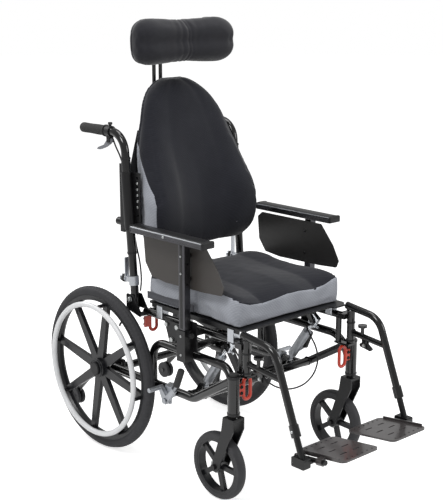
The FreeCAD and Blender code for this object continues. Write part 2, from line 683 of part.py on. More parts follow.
def seat_cushion():
    """The contoured seat cushion: crowned at the edges, with leg troughs and a low ridge between them."""
    low = seat_pan_top_z + cushion_gap
    side = low + cushion_side_height
    half = cushion_half_width
    length = cushion_front_f - cushion_rear_f
    stations = [(0.0, half - 8.0, side - 8.0, side - 10.0, side - 8.0),
                (0.06, half, side, side + 4.0, side + 6.0),
                (0.42, half, side + 4.0, side + 4.0, side + 14.0),
                (0.78, half, side + 4.0, side - 6.0, side + 8.0),
                (0.95, half, side - 2.0, side - 22.0, side - 10.0),
                (1.0, half - 6.0, side - 8.0, side - 30.0, side - 20.0)]
    wires = []
    for share, width, seam, trough, middle in stations:
        wires.append(seat_section(cushion_rear_f + share * length, width, low, seam, trough, middle))
    return Part.makeLoft(wires, True, False)


def arm_socket():
    """The left armrest socket: a square sleeve on a channel that is bolted across to the rail."""
    half = arm_post_size / 2.0 + arm_socket_clearance
    wall = arm_socket_wall
    x, f = arm_post_x, arm_post_f
    sleeve = box(x - half - wall, x + half + wall, f - half - wall - 2.0, f + half + wall + 2.0,
                 arm_socket_bottom_z, arm_socket_top_z)
    channel = box(x - half - wall - 2.0, x - half - wall + 1.0, f - 20.0, f + 34.0,
                  base_top_z + frame_tube_radius + 5.0, arm_socket_top_z + 24.0)
    bridge = box(rail_x, x - half - wall, f - 16.0, f + 28.0, rail_z - 8.0, rail_z + 8.0)
    rail = rod(at(rail_x, 0, rail_z), at(rail_x, 700.0, rail_z), rail_radius + 0.02)
    room = box(x - half, x + half, f - half, f + half, arm_socket_bottom_z + 3.0, arm_socket_top_z + 40.0)
    knob = rod(at(x, f + half + wall, arm_socket_top_z - 12.0),
               at(x, f + half + wall + 16.0, arm_socket_top_z - 12.0), 8.0)
    return joined([sleeve, channel, bridge, knob]).cut(Part.makeCompound([rail, room]))


def armrest():
    """The left armrest: post, pad and skirt panel."""
    half = arm_post_size / 2.0
    x, f = arm_post_x, arm_post_f
    pad_bottom = arm_pad_top_z - arm_pad_height
    inner = half - 2.0
    post = box(x - half, x + half, f - half, f + half, arm_socket_bottom_z + 8.0, pad_bottom)
    post = eased(post, 3.0, lambda edge: lies_along(edge, up))
    bore = box(x - inner, x + inner, f - inner, f + inner, arm_socket_bottom_z + 4.0, pad_bottom - 4.0)
    holes = [rod(at(x, f, z), at(x, f + 40.0, z), 3.0) for z in (610.0, 640.0, 670.0)]
    button = rod(at(x, f + half - 2.5, 640.0), at(x, f + half + 2.0, 640.0), 3.0)
    post = joined([post.cut(Part.makeCompound([bore] + holes)), button])
    pad = box(x - arm_pad_width / 2.0, x + arm_pad_width / 2.0, arm_pad_rear_f, arm_pad_front_f,
              pad_bottom, arm_pad_top_z)
    pad = eased(pad, 5.0)
    inner_x = skirt_x - skirt_thickness / 2.0
    outline = [(196.0, 706.0), (203.0, 634.0), (232.0, 596.0), (296.0, 589.0), (465.0, 592.0),
               (536.0, 597.0),
               (545.0, 619.0), (520.0, 664.0), (470.0, pad_bottom - 6.0), (215.0, pad_bottom - 6.0)]
    skirt = side_plate(outline, inner_x, inner_x + skirt_thickness, 7.0)
    spacers = [cross_rod(inner_x + 0.5, x - half, f, z, 6.0) for z in (622.0, 690.0)]
    return post, pad, joined([skirt] + spacers)


def gas_spring():
    """The left gas spring: cylinder with its foot eye, and rod with its release head."""
    foot = at(spring_x, spring_foot_f, spring_foot_z)
    head = at(spring_x, spring_head_f, spring_head_z)
    way = (head - foot).normalize()
    eye = cross_rod(spring_x - 7.5, spring_x + 7.5, spring_foot_f, spring_foot_z, 9.0)
    start = foot + way * 20.0
    end = start + way * spring_cylinder_length
    cylinder = eased(rod(start, end, spring_cylinder_radius), 2.0)
    neck = rod(foot + way * 4.0, start + way * 3.0, 7.0)
    rod_bore = rod(foot + way * 24.0, end + way * 10.0, spring_rod_radius + running_clearance)
    pin_room = cross_rod(spring_x - 20.0, spring_x + 20.0, spring_foot_f, spring_foot_z,
                         spring_pin_radius + running_clearance)
    cylinder = joined([eye, neck, cylinder]).cut(Part.makeCompound([rod_bore, pin_room]))
    shaft = rod(foot + way * 30.0, head - way * 6.0, spring_rod_radius)
    block_low = head - way * (spring_eye_play + spring_pin_radius + 10.0)
    block_high = head + way * (spring_eye_play + spring_pin_radius + 4.0)
    block = rod(block_low, block_high, 15.0)
    flat = box(spring_x - 8.0, spring_x + 8.0, 0.0, 900.0, 0.0, 900.0)
    slot_radius = spring_pin_radius + 3.0
    slots = [rod(head + way * step - left * 20.0, head + way * step + left * 20.0, slot_radius)
             for step in (-4.0, 0.0, 4.0)]
    lever = rod(block_low + way * 3.0, block_low + way * 3.0 + along(26.0, -10.0), 3.0)
    rod_part = joined([shaft, block.common(flat), lever]).cut(Part.makeCompound(slots))
    return cylinder, rod_part


def hanger():
    """The left leg-rest hanger: top tube that bends down to the foot, pivot post and strut."""
    x, f = hanger_x, hanger_post_f
    bend = [at(x, f - 14.0, hanger_top_z), at(x, hanger_knee_f - 12.0, hanger_top_z - 14.0),
            at(x, hanger_foot_f, hanger_foot_z)]
    post_low = at(x, f, hanger_post_bottom_z)
    post = rod(post_low, at(x, f, hanger_top_z - 2.0), hanger_post_radius)
    strut_f = hanger_knee_f + (hanger_foot_f - hanger_knee_f) * 0.33
    strut = rod(at(x, f, strut_z + 6.0), at(x, strut_f, strut_z - 8.0), 9.0)
    knob = rod(at(x, f + 46.0, strut_z), at(x, f + 46.0, strut_z + 34.0), 5.5)
    knob_head = rod(at(x, f + 46.0, strut_z + 30.0), at(x, f + 46.0, strut_z + 37.0), 14.0)
    foot = at(x, hanger_foot_f, hanger_foot_z)
    way = (foot - bend[1]).normalize()
    clamp = rod(foot - way * 34.0, foot, hanger_tube_radius + 3.0)
    outer = joined([swept(bend, hanger_bend_radius, hanger_tube_radius), post, strut, knob, knob_head,
                    clamp])
    bore = rod(foot + way * 5.0, foot - way * 130.0, extension_radius + 0.1)
    socket = rod(post_low - up * 1.0, post_low + up * 52.0, hanger_pin_radius + running_clearance)
    return outer.cut(Part.makeCompound([bore, socket])), foot, way


def hanger_latch():
    """The left latch lever, turning on a cross pin under the strut."""
    x, f = hanger_x, hanger_post_f + latch_reach
    z = strut_z - 26.0
    arm = side_plate([(f - 20.0, z + 4.0), (f - 6.0, z + 12.0), (f + 6.0, z + 12.0), (f + 28.0, z - 4.0),
                      (f + 22.0, z - 11.0), (f - 18.0, z - 4.0)], x - 4.0, x + 4.0, 3.0)
    return arm.cut(cross_rod(x - 20.0, x + 20.0, f, z + 4.0, 3.0 + running_clearance))


def latch_mount():
    """Two cheeks and a pin under the hanger's strut."""
    x, f = hanger_x, hanger_post_f + latch_reach
    z = strut_z - 26.0
    cheeks = [side_plate([(f - 8.0, z - 4.0), (f + 8.0, z - 4.0), (f + 8.0, strut_z - 2.0),
                          (f - 8.0, strut_z - 2.0)],
                         x + side * 6.0 - 1.5, x + side * 6.0 + 1.5) for side in (-1.0, 1.0)]
    pin = cross_rod(x - 7.5, x + 7.5, f, z + 4.0, 3.0)
    return joined(cheeks + [pin])


def foot_extension(foot, way):
    """The left extension tube with its clamp and the footplate's hinge bar."""
    hinge = at(hanger_x, footplate_hinge_f, footplate_hinge_z)
    low = foot + way * ((hanger_foot_z - footplate_hinge_z) / abs(way.z) - 6.0)
    tube = rod(foot - way * 104.0, low, extension_radius)
    block = box(hanger_x - 12.0, hanger_x + 13.0, footplate_hinge_f - 34.0, footplate_hinge_f + 14.0,
                footplate_hinge_z - 16.0, footplate_hinge_z + 12.0)
    block = eased(block, 4.0, lambda edge: lies_along(edge, left))
    bar = rod(hinge - left * 30.0 + along(-58.0, -7.1), hinge - left * 30.0 + along(52.0, 6.4), 7.0)
    link = box(hanger_x - 32.0, hanger_x - 12.0, footplate_hinge_f - 14.0, footplate_hinge_f + 8.0,
               footplate_hinge_z - 8.0, footplate_hinge_z + 6.0)
    return joined([tube, block, link, bar])


def footplate():
    """The left footplate: slotted tread with two knuckles that turn on the hinge bar."""
    hinge = at(hanger_x - 30.0, footplate_hinge_f, footplate_hinge_z)
    x1 = hanger_x - 30.0 - 10.0
    x0 = footplate_inner_x
    top = footplate_hinge_z + footplate_rise
    f0 = footplate_hinge_f - 0.38 * footplate_length
    f1 = footplate_hinge_f + 0.62 * footplate_length
    plate = box(x0, x1, f0, f1, top - footplate_thickness, top)
    plate = eased(plate, 16.0, lambda edge: lies_along(edge, up))
    cuts = []
    for row in range(3):
        f = f0 + 46.0 + row * 40.0
        for column in range(2):
            x = x0 + 44.0 + column * 52.0
            slot = box(x - 13.0, x + 13.0, f - 3.0, f + 3.0, top - 20.0, top + 5.0)
            cuts.append(slot)
    plate = plate.cut(Part.makeCompound(cuts))
    lip = box(x1 - 4.0, x1, f0 + 16.0, f1 - 16.0, top - 1.0, top + 6.0)
    knuckles = []
    for f in (footplate_hinge_f - 40.0, footplate_hinge_f + 34.0):
        knuckles.append(rod(at(hanger_x - 30.0, f - 9.0, footplate_hinge_z),
                            at(hanger_x - 30.0, f + 9.0, footplate_hinge_z), 11.0))
        knuckles.append(box(x1 - 8.0, hanger_x - 30.0, f - 9.0, f + 9.0, top - footplate_thickness,
                            top - 0.5))
    shape = joined([plate, lip] + knuckles)
    shape = shape.cut(rod(at(hanger_x - 30.0, f0 - 40.0, footplate_hinge_z),
                          at(hanger_x - 30.0, f1 + 40.0, footplate_hinge_z),
                          7.0 + running_clearance))
    shape.rotate(hinge, left, -footplate_slope)
    return shape


def lean_f(z, set_back=0.0):
    """How far forward the cane's centre line lies at a height, less a set-back."""
    return back_pivot_f - (z - back_pivot_z) * math.tan(math.radians(back_lean)) - set_back


def back_cane():
    """The left back cane, which bends rearward at the top into the push handle."""
    x = cane_x
    low_z = back_pivot_z - 30.0
    bend_z = handle_z
    path = [at(x, lean_f(low_z), low_z), at(x, lean_f(bend_z), bend_z),
            at(x, grip_rear_f + 2.0, handle_z)]
    outer = swept(path, handle_bend_radius, cane_radius)
    inner = swept(path, handle_bend_radius, cane_radius - tube_wall)
    keep = box(x - 30.0, x + 30.0, grip_rear_f + 6.0, 300.0, low_z + 6.0, 1100.0)
    sleeve_low = 640.0
    sleeve = rod(at(x, lean_f(sleeve_low), sleeve_low),
                 at(x, lean_f(cane_straight_top_z), cane_straight_top_z),
                 cane_radius + 1.5)
    cane = joined([outer, sleeve]).cut(inner.common(keep))
    bore = cross_rod(x - 30.0, x + 30.0, back_pivot_f, back_pivot_z, 5.0 + running_clearance)
    return cane.cut(bore)


def push_grip():
    """The left hand grip, ribbed, with a closed rear end."""
    front = at(cane_x, grip_rear_f + grip_length, handle_z)
    rear = at(cane_x, grip_rear_f - 3.0, handle_z)
    grip = eased(rod(front, rear, grip_radius), 4.0)
    flange = rod(front, front + along(-8.0, 0.0), grip_radius + 3.0)
    tube = rod(front + along(10.0, 0.0), at(cane_x, grip_rear_f + 1.9, handle_z), cane_radius + 0.05)
    return joined([grip, flange]).cut(tube)


def trigger_mount():
    """A clamp on the handle, ahead of the left grip, that carries the trigger's pin."""
    f = grip_rear_f + grip_length + 16.0
    ring = rod(at(cane_x, f - 10.0, handle_z), at(cane_x, f + 10.0, handle_z), cane_radius + 4.0)
    ears = [side_plate([(f - 9.0, handle_z - 10.0), (f + 9.0, handle_z - 10.0),
                        (f + 7.0, handle_z - 34.0),
                        (f - 7.0, handle_z - 34.0)], cane_x + side * 6.0 - 1.5, cane_x + side * 6.0 + 1.5)
            for side in (-1.0, 1.0)]
    pin = cross_rod(cane_x - 7.5, cane_x + 7.5, f, handle_z - 27.0, 3.0)
    stud = rod(at(cane_x, f + 3.0, handle_z + 12.0), at(cane_x, f + 3.0, handle_z + 22.0), 4.0)
    room = rod(at(cane_x, f - 30.0, handle_z), at(cane_x, f + 30.0, handle_z), cane_radius + 0.02)
    return joined([ring, stud] + ears + [pin]).cut(room)


def trigger():
    """The left tilt trigger: a curved lever under the grip."""
    f = grip_rear_f + grip_length + 16.0
    z = handle_z - 27.0
    outline = [(f + 8.0, z + 5.0), (f - 6.0, z + 6.0), (f - 26.0, z - 16.0),
               (f - 0.62 * trigger_length, z - 27.0),
               (f - 0.62 * trigger_length - 4.0, z - 33.0), (f - 0.5 * trigger_length, z - 33.0),
               (f - 20.0, z - 24.0), (f + 2.0, z - 12.0), (f + 9.0, z - 5.0)]
    arm = side_plate(outline, cane_x - 4.0, cane_x + 4.0)
    return arm.cut(cross_rod(cane_x - 20.0, cane_x + 20.0, f, z, 3.0 + running_clearance))


def back_hinge():
    """The left seat-side hinge plates that carry the cane, with the angle strap behind."""
    f, z = back_pivot_f, back_pivot_z
    gap = cane_radius + 0.5
    plates = []
    for side in (-1.0, 1.0):
        x0 = cane_x + side * gap + min(0.0, side * 4.0)
        plates.append(side_plate([(f - 22.0, z + 14.0), (f + 12.0, z + 14.0), (f + 46.0, rail_z + 4.0),
                                  (f + 46.0, rail_z - 10.0), (f - 2.0, z - 38.0),
                                  (f - 22.0, z - 34.0)], x0, x0 + 4.0, 4.0))
    pin = cross_rod(cane_x - gap - 6.0, cane_x + gap + 6.0, f, z, 5.0)
    knob = cross_rod(cane_x + gap + 3.0, cane_x + gap + 7.0, f, z, 10.0)
    stop_z = z - 27.0
    stop_f = lean_f(stop_z) - cane_radius - 4.3
    stop = cross_rod(cane_x - gap - 2.0, cane_x + gap + 2.0, stop_f, stop_z, 4.0)
    bridge = box(rail_x, cane_x + gap + 2.0, rail_rear_f + 3.0, rail_rear_f + 16.0, rail_z - 8.0,
                 rail_z + 2.0)
    rail = rod(at(rail_x, 0, rail_z), at(rail_x, 700.0, rail_z), rail_radius + 0.02)
    return joined(plates + [pin, knob, stop, bridge]).cut(rail)


def back_strap():
    """The left silver release strap with its knurled knob, on the back of the cane."""
    z = 560.0
    f = lean_f(z) - cane_radius - 0.4
    clamp = rod(at(cane_x, lean_f(z - 14.0), z - 14.0), at(cane_x, lean_f(z + 14.0), z + 14.0),
                cane_radius + 3.0)
    strap = box(cane_x - 7.0, cane_x + 7.0, f - 24.0, f - 20.0, z - 10.0, z + 66.0)
    arm = box(cane_x - 7.0, cane_x + 7.0, f - 24.0, f + 4.0, z - 8.0, z + 8.0)
    knob = rod(at(cane_x, f - 20.0, z), at(cane_x, f - 44.0, z), 11.0)
    room = rod(at(cane_x, lean_f(z - 60.0), z - 60.0), at(cane_x, lean_f(z + 90.0), z + 90.0),
               cane_radius + 0.02)
    return joined([clamp, strap, arm, knob]).cut(room)


def back_bracket():
    """The left bracket that clamps to the cane and holds the back shell, with its row of holes."""
    low_z, high_z = 715.0, 890.0
    clamp = rod(at(cane_x, lean_f(low_z), low_z), at(cane_x, lean_f(high_z), high_z), cane_radius + 5.0)
    f = lean_f((low_z + high_z) / 2.0)
    plate = box(cane_x - 13.0, cane_x - 9.0, f + 4.0, f + 44.0, low_z, high_z)
    rear = box(cane_x - 12.0, cane_x + 12.0, f - 26.0, f - 8.0, low_z - 8.0, high_z + 24.0)
    holes = [cross_rod(cane_x - 30.0, cane_x - 2.0, f + 32.0, low_z + 18.0 + k * 28.0,
                       5.0) for k in range(6)]
    knob = rod(at(cane_x, f - 24.0, low_z + 20.0), at(cane_x, f - 50.0, low_z + 20.0), 12.0)
    room = rod(at(cane_x, lean_f(low_z - 50.0), low_z - 50.0),
               at(cane_x, lean_f(high_z + 50.0), high_z + 50.0),
               cane_radius + 1.52)
    return joined([clamp, plate, rear, knob]).cut(Part.makeCompound(holes + [room]))


def shell_front(z, gap=soft_gap):
    """How far forward the back cushion's rear face lies at a height, where it rests on the shell."""
    slope = (shell_high_f - shell_low_f) / (shell_high_z - shell_low_z)
    return shell_low_f + slope * (z - shell_low_z) + gap


def back_section(z, rear_half, half, rear, side, middle):
    """One level section of the back cushion: flat rear, rounded flanks and a hollowed front."""
    flank = [at(rear_half, rear, z), at(half, (rear + side) / 2.0, z), at(half - 14.0, side, z)]
    front = [flank[2], at(0.72 * half, side + 0.1 * (middle - side) + 4.0, z),
             at(0.45 * half, (side + middle) / 2.0, z),
             at(0.2 * half, middle + 0.12 * (side - middle), z), at(0.0, middle, z)]
    mirror_front = [FreeCAD.Vector(-p.x, p.y, p.z) for p in reversed(front)]
    mirror_flank = [FreeCAD.Vector(-p.x, p.y, p.z) for p in reversed(flank)]
    base = Part.LineSegment(mirror_flank[-1], flank[0]).toShape()
    return Part.Wire([base] + arc_chain(flank + front[1:] + mirror_front[1:] + mirror_flank[1:]))


def back_cushion():
    """The contoured back cushion: wide with side wings at the waist, narrow and round at the top."""
    levels = [(642.0, 160.0, 172.0, 140.0, 178.0, 186.0),
              (668.0, 184.0, 200.0, shell_front(680.0), 206.0, 196.0),
              (740.0, 188.0, 211.0, shell_front(740.0), 234.0, 200.0),
              (830.0, 188.0, 209.0, shell_front(830.0), 224.0, 186.0),
              (905.0, 186.0, 199.0, shell_front(905.0), 190.0, 168.0),
              (985.0, 174.0, 184.0, shell_front(985.0), 150.0, 146.0),
              (1050.0, 152.0, 164.0, shell_front(1050.0), 124.0, 128.0),
              (1110.0, 118.0, 130.0, 52.0, 102.0, 112.0),
              (1148.0, 78.0, 88.0, 40.0, 82.0, 94.0), (1166.0, 38.0, 46.0, 38.0, 62.0, 72.0)]
    loft = Part.makeLoft([back_section(*level) for level in levels], True, False)
    return loft.cut(shell_slab(660.0, 1050.0, 30.0, soft_gap))


def shell_lean():
    return math.degrees(math.atan2(shell_low_f - shell_high_f, shell_high_z - shell_low_z))


def shell_slab(low_z, high_z, thickness, gap=0.0):
    """A slab with cut upper corners whose front face leans with the back, a gap ahead of the shell's own."""
    half = cane_x - 15.0
    shoulder_z = low_z + (shell_shoulder_z - shell_low_z) / (shell_high_z - shell_low_z) * (high_z - low_z)
    outline = [at(-half, 0, low_z), at(half, 0, low_z), at(half, 0, shoulder_z),
               at(half - shell_corner, 0, high_z),
               at(shell_corner - half, 0, high_z), at(-half, 0, shoulder_z)]
    face = Part.Face(Part.makePolygon(outline + outline[:1]))
    slab = face.extrude(along(thickness, 0.0))
    slab.translate(along(shell_low_f + gap - thickness, 0.0))
    slab.rotate(at(0, shell_low_f, shell_low_z), left, -shell_lean())
    return slab


def back_shell():
    """The rigid shell behind the back cushion, joined to both cane brackets."""
    return shell_slab(shell_low_z, shell_high_z, shell_thickness)


def headrest_bracket():
    """The clamp behind the back shell that the headrest posts slide in."""
    z0, z1 = 880.0, 960.0
    shell_f = shell_front(z0, 0.0) - shell_thickness
    block = box(-28.0, 28.0, head_post_f - 14.0, head_post_f + 14.0, z0, z1)
    block = eased(block, 4.0)
    web = box(-20.0, 20.0, head_post_f + 10.0, shell_f - 16.0, z0 + 10.0, z1 - 10.0)
    plate = box(-60.0, 60.0, shell_f - 5.0, shell_f - 0.4, z0, z1 + 14.0)
    plate.rotate(at(0, shell_f, z0), left, -shell_lean())
    knob = rod(at(0, head_post_f - 13.0, (z0 + z1) / 2.0), at(0, head_post_f - 40.0, (z0 + z1) / 2.0),
               14.0)
    half = head_post_spacing / 2.0
    bores = [rod(at(sign * half, head_post_f, z0 - 5.0), at(sign * half, head_post_f, z1 + 5.0),
                 head_post_radius + running_clearance) for sign in (-1.0, 1.0)]
    return joined([block, web, plate, knob]).cut(Part.makeCompound(bores))


def headrest_posts():
    """Twin posts with the forward arm that ends in the pad's pivot."""
    half = head_post_spacing / 2.0
    top_z = head_pad_z - 20.0
    shapes = []
    for sign in (-1.0, 1.0):
        shapes.append(rod(at(sign * half, head_post_f, 780.0), at(sign * half, head_post_f, top_z),
                          head_post_radius))
    shapes.append(eased(box(-24.0, 24.0, head_post_f - 10.0, head_post_f + 10.0, top_z - 24.0,
                            top_z + 20.0), 3.0))
    pad_rear = head_pad_f - head_pad_depth / 2.0
    shapes.append(box(-9.0, 9.0, head_post_f + 6.0, pad_rear - 22.0, top_z - 9.0, top_z + 9.0))
    shapes.append(cross_rod(-9.0, 9.0, pad_rear - 22.0, top_z, 9.0))
    shapes.append(cross_rod(-18.0, 18.0, pad_rear - 22.0, top_z, 4.0))
    return joined(shapes)


def headrest_mount():
    """The pad's back plate with two ears on the pivot pin."""
    pad_rear = head_pad_f - head_pad_depth / 2.0
    z = head_pad_z - 20.0
    plate = box(-60.0, 60.0, pad_rear - 4.0, pad_rear + 0.2, z - 36.0, z + 36.0)
    plate = eased(plate, 12.0, lambda edge: lies_along(edge, along(1.0, 0.0)))
    ears = [box(sign * 14.0 - 3.0, sign * 14.0 + 3.0, pad_rear - 32.0, pad_rear - 2.0, z - 11.0, z + 11.0)
            for sign in (-1.0, 1.0)]
    pin_room = cross_rod(-30.0, 30.0, pad_rear - 22.0, z, 4.0 + running_clearance)
    return joined([plate] + ears).cut(pin_room)


def head_section(x, height, depth, push):
    """One upright section across the headrest pad at x: four arcs."""
    z = head_pad_z
    f = head_pad_f + push
    h, d = height / 2.0, depth / 2.0
    points = [at(x, f - d, z - 0.62 * h), at(x, f - d - 1.0, z), at(x, f - d, z + 0.62 * h),
              at(x, f - 0.6 * d, z + 0.92 * h),
              at(x, f, z + h), at(x, f + 0.7 * d, z + 0.84 * h), at(x, f + d, z),
              at(x, f + 0.7 * d, z - 0.84 * h),
              at(x, f, z - h), at(x, f - 0.6 * d, z - 0.92 * h), at(x, f - d, z - 0.62 * h)]
    return Part.Wire(arc_chain(points))


def headrest_pad():
    """The wide headrest pad: full in the middle, drawn in at its rounded ends."""
    w = head_pad_half_width
    stations = [(-1.0, 0.34, 0.34), (-0.96, 0.72, 0.7), (-0.8, 0.97, 0.94), (-0.4, 1.0, 1.0),
                (0.0, 0.97, 0.95),
                (0.4, 1.0, 1.0), (0.8, 0.97, 0.94), (0.96, 0.72, 0.7), (1.0, 0.34, 0.34)]
    wires = []
    for share, tall, deep in stations:
        wires.append(head_section(share * w, tall * head_pad_height, deep * head_pad_depth,
                                  8.0 * share * share))
    return Part.makeLoft(wires, True, False)


def cable(points, radius, name):
    """A cable along straight runs joined by arcs as large as the runs allow."""
    edges = []
    radii = []
    here = points[0]
    runs = [(b - a).Length for a, b in zip(points, points[1:])]
    for k in range(1, len(points) - 1):
        back = (points[k - 1] - points[k]).normalize()
        ahead = (points[k + 1] - points[k]).normalize()
        turn = math.pi - back.getAngle(ahead)
        reach = 0.45 * min(runs[k - 1], runs[k])
        arc_radius = reach / math.tan(turn / 2.0)
        radii.append(arc_radius)
        enter = points[k] + back * reach
        leave = points[k] + ahead * reach
        middle = points[k] + (back + ahead).normalize() * (arc_radius / math.cos(turn / 2.0) - arc_radius)
        edges.append(Part.LineSegment(here, enter).toShape())
        edges.append(Part.Arc(enter, middle, leave).toShape())
        here = leave
    edges.append(Part.LineSegment(here, points[-1]).toShape())
    path = Part.Wire(edges)
    ring = Part.Wire(Part.makeCircle(radius, points[0], points[1] - points[0]))
    tube = path.makePipeShell([ring], True, True)
    share = tube.Volume / (math.pi * radius ** 2 * path.Length)
    print(name, "length", round(path.Length), "volume share", round(share, 3), "radii",
          [round(r) for r in radii])
    return tube


release_loop_route = [
    (169.9, 494.0, 420.0), (152.0, 494.0, 420.0), (146.0, 516.0, 398.0), (148.0, 540.0, 366.0),
    (146.0, 552.0, 326.0), (134.0, 547.0, 284.0),
    (112.0, 528.0, 250.0), (78.0, 503.0, 236.0), (40.0, 484.0, 246.0), (4.0, 476.0, 272.0),
    (-36.0, 478.0, 302.0),
    (-78.0, 484.0, 330.0), (-112.0, 490.0, 362.0), (-136.0, 492.0, 396.0), (-151.0, 494.0, 420.0),
    (-169.9, 494.0, 420.0),
]
trigger_cable_route = [
    (-211.8, 24.0, 980.0), (-209.0, 32.0, 958.0), (-202.0, 44.0, 930.0), (-198.0, 60.0, 886.0),
    (-196.0, 74.0, 830.0),
    (-198.0, 84.0, 774.0), (-196.0, 94.0, 718.0), (-198.0, 110.0, 664.0), (-196.0, 126.0, 608.0),
    (-198.0, 133.0, 558.0),
    (-201.0, 131.0, 524.0),
]


def build():
    """Makes every node of the wheelchair."""
    nodes = {}

    def sides(name, shape):
        nodes[name + "_left"] = shape
        nodes[name + "_right"] = mirrored(shape)

    frame = base_side_frame(1.0)
    nodes["base_side_frame_left"] = frame
    nodes["base_side_frame_right"] = base_side_frame(-1.0)
    plate = axle_plate().cut(frame)
    plates = pair(plate)
    cross = cross_tubes().cut(side_frame_seats()).cut(plates)
    cross = Part.makeCompound([solid for solid in cross.Solids if solid.Volume > 5000.0])
    nodes["base_cross_tubes"] = Part.makeCompound(cross.Solids + plates.Solids)
    tyre, wheel, handrim = rear_wheel()
    sides("rear_tyre", tyre)
    sides("rear_wheel", wheel)
    sides("handrim", handrim)
    axle = rear_axle()
    nodes["rear_axles"] = pair(axle.cut(frame).cut(plate))
    fork, caster_wheel, caster_tyre = caster()
    sides("caster_fork", fork)
    sides("caster_wheel", caster_wheel)
    sides("caster_tyre", caster_tyre)
    tube, rollers = anti_tipper()
    nodes["anti_tipper_tubes"] = pair(tube)
    sides("anti_tipper_rollers", rollers)
    front_loop = tie_down_loop(at(200.0, caster_stem_f + 4.0, 338.0), 0.0).cut(frame)
    nodes["front_tie_downs"] = pair(front_loop)
    lock, lever, grip = wheel_lock()
    nodes["wheel_lock_clamps"] = pair(lock)
    sides("wheel_lock_lever", Part.makeCompound([lever, grip]))

    seat = seat_frame()
    nodes["seat_frame"] = seat
    hinges = joined([tilt_plate()]).cut(seat).Solids[:1] + back_hinge().cut(seat).Solids[:1]
    nodes["hinge_plates"] = Part.makeCompound(hinges + [mirrored(h) for h in hinges])
    pan = seat_pan()
    nodes["seat_pan"] = Part.makeCompound([pan] + seat_clamps().cut(seat).cut(pan).Solids)
    nodes["seat_cushion"] = seat_cushion()
    socket = arm_socket().cut(seat)
    nodes["armrest_sockets"] = pair(socket)
    rear_loop = tie_down_loop(at(181.0, 166.0, 436.0), 0.0)
    rear_loop = rear_loop.cut(seat).cut(nodes["hinge_plates"])
    nodes["rear_tie_downs"] = pair(Part.makeCompound(rear_loop.Solids[:1]))
    post, pad, skirt = armrest()
    sides("armrest_post", post)
    sides("armrest_pad", pad)
    sides("skirt_panel", skirt.cut(pad))
    cylinder, piston = gas_spring()
    sides("gas_spring_cylinder", cylinder)
    sides("gas_spring_rod", piston)
    leg, foot, way = hanger()
    sides("hanger", joined([leg, latch_mount()]))
    sides("hanger_latch", hanger_latch())
    sides("foot_extension", foot_extension(foot, way).cut(leg))
    sides("footplate", footplate())

    cane = back_cane()
    bracket = back_bracket().cut(cane)
    mount = trigger_mount().cut(cane)
    nodes["back_canes"] = pair(Part.makeCompound([cane, mount, bracket]))
    nodes["push_grips"] = pair(push_grip())
    nodes["release_straps"] = pair(back_strap().cut(cane))
    sides("trigger", trigger())
    shell = back_shell().cut(nodes["back_canes"])
    nodes["back_shell"] = shell
    cushion = back_cushion()
    nodes["back_cushion"] = cushion
    nodes["headrest_bracket"] = headrest_bracket().cut(shell)
    nodes["headrest_posts"] = headrest_posts()
    nodes["headrest_mount"] = headrest_mount()
    nodes["headrest_pad"] = headrest_pad()
    nodes["release_loop"] = cable([at(*p) for p in release_loop_route], 2.5, "release loop")
    nodes["trigger_cable"] = cable([at(*p) for p in trigger_cable_route], 2.5, "trigger cable")
    return nodes


def main():
    os.makedirs("parts", exist_ok=True)
    nodes = build()
    for name, shape in nodes.items():
        if not shape.isValid():
            print("not valid:", name)
        shape.exportStep("parts/" + name + ".step")
    box_all = Part.makeCompound(list(nodes.values())).BoundBox
    print("nodes", len(nodes), "size", round(box_all.XLength, 1), round(box_all.YLength, 1),
          round(box_all.ZLength, 1))
    print("box", box_all)


main()
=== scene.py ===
"""Dresses the tilt-in-space wheelchair: finishes, cushions, tread, fasteners, camera and light.

Lengths in the size fields are millimetres. Side views are drawn in (f, z), where f is the distance
forward of the rear axle, and x runs to the user's left.
"""

import json
import logging
import math
from dataclasses import dataclass, field
from enum import Enum
from typing import Any, Callable, Iterable, Sequence

import bmesh
import bpy
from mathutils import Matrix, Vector, noise

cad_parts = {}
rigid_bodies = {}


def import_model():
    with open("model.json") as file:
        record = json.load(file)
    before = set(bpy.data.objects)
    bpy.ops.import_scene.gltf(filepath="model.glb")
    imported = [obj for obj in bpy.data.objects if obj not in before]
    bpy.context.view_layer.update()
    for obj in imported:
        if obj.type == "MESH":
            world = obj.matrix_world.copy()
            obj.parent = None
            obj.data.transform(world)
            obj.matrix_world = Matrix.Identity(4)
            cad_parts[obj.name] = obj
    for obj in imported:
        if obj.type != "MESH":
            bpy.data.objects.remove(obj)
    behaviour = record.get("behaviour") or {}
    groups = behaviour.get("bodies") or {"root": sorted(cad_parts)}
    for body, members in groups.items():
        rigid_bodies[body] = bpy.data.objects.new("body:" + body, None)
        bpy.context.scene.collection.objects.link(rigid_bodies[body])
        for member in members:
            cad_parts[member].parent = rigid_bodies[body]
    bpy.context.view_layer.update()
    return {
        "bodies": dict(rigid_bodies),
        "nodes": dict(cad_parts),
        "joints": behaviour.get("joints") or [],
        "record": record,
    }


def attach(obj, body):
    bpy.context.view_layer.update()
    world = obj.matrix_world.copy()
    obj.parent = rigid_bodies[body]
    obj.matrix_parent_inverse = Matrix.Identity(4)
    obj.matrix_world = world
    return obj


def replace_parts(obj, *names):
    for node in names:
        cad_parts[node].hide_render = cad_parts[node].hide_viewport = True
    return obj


log = logging.getLogger("wheelchair")

MM = 0.001
AXLE_Y = 340.6
SIDES = (("left", 1.0), ("right", -1.0))
RIDGES = 18
Point = tuple[float, float, float]
UP = Vector((0.0, 0.0, 1.0))
LEFT = Vector((1.0, 0.0, 0.0))


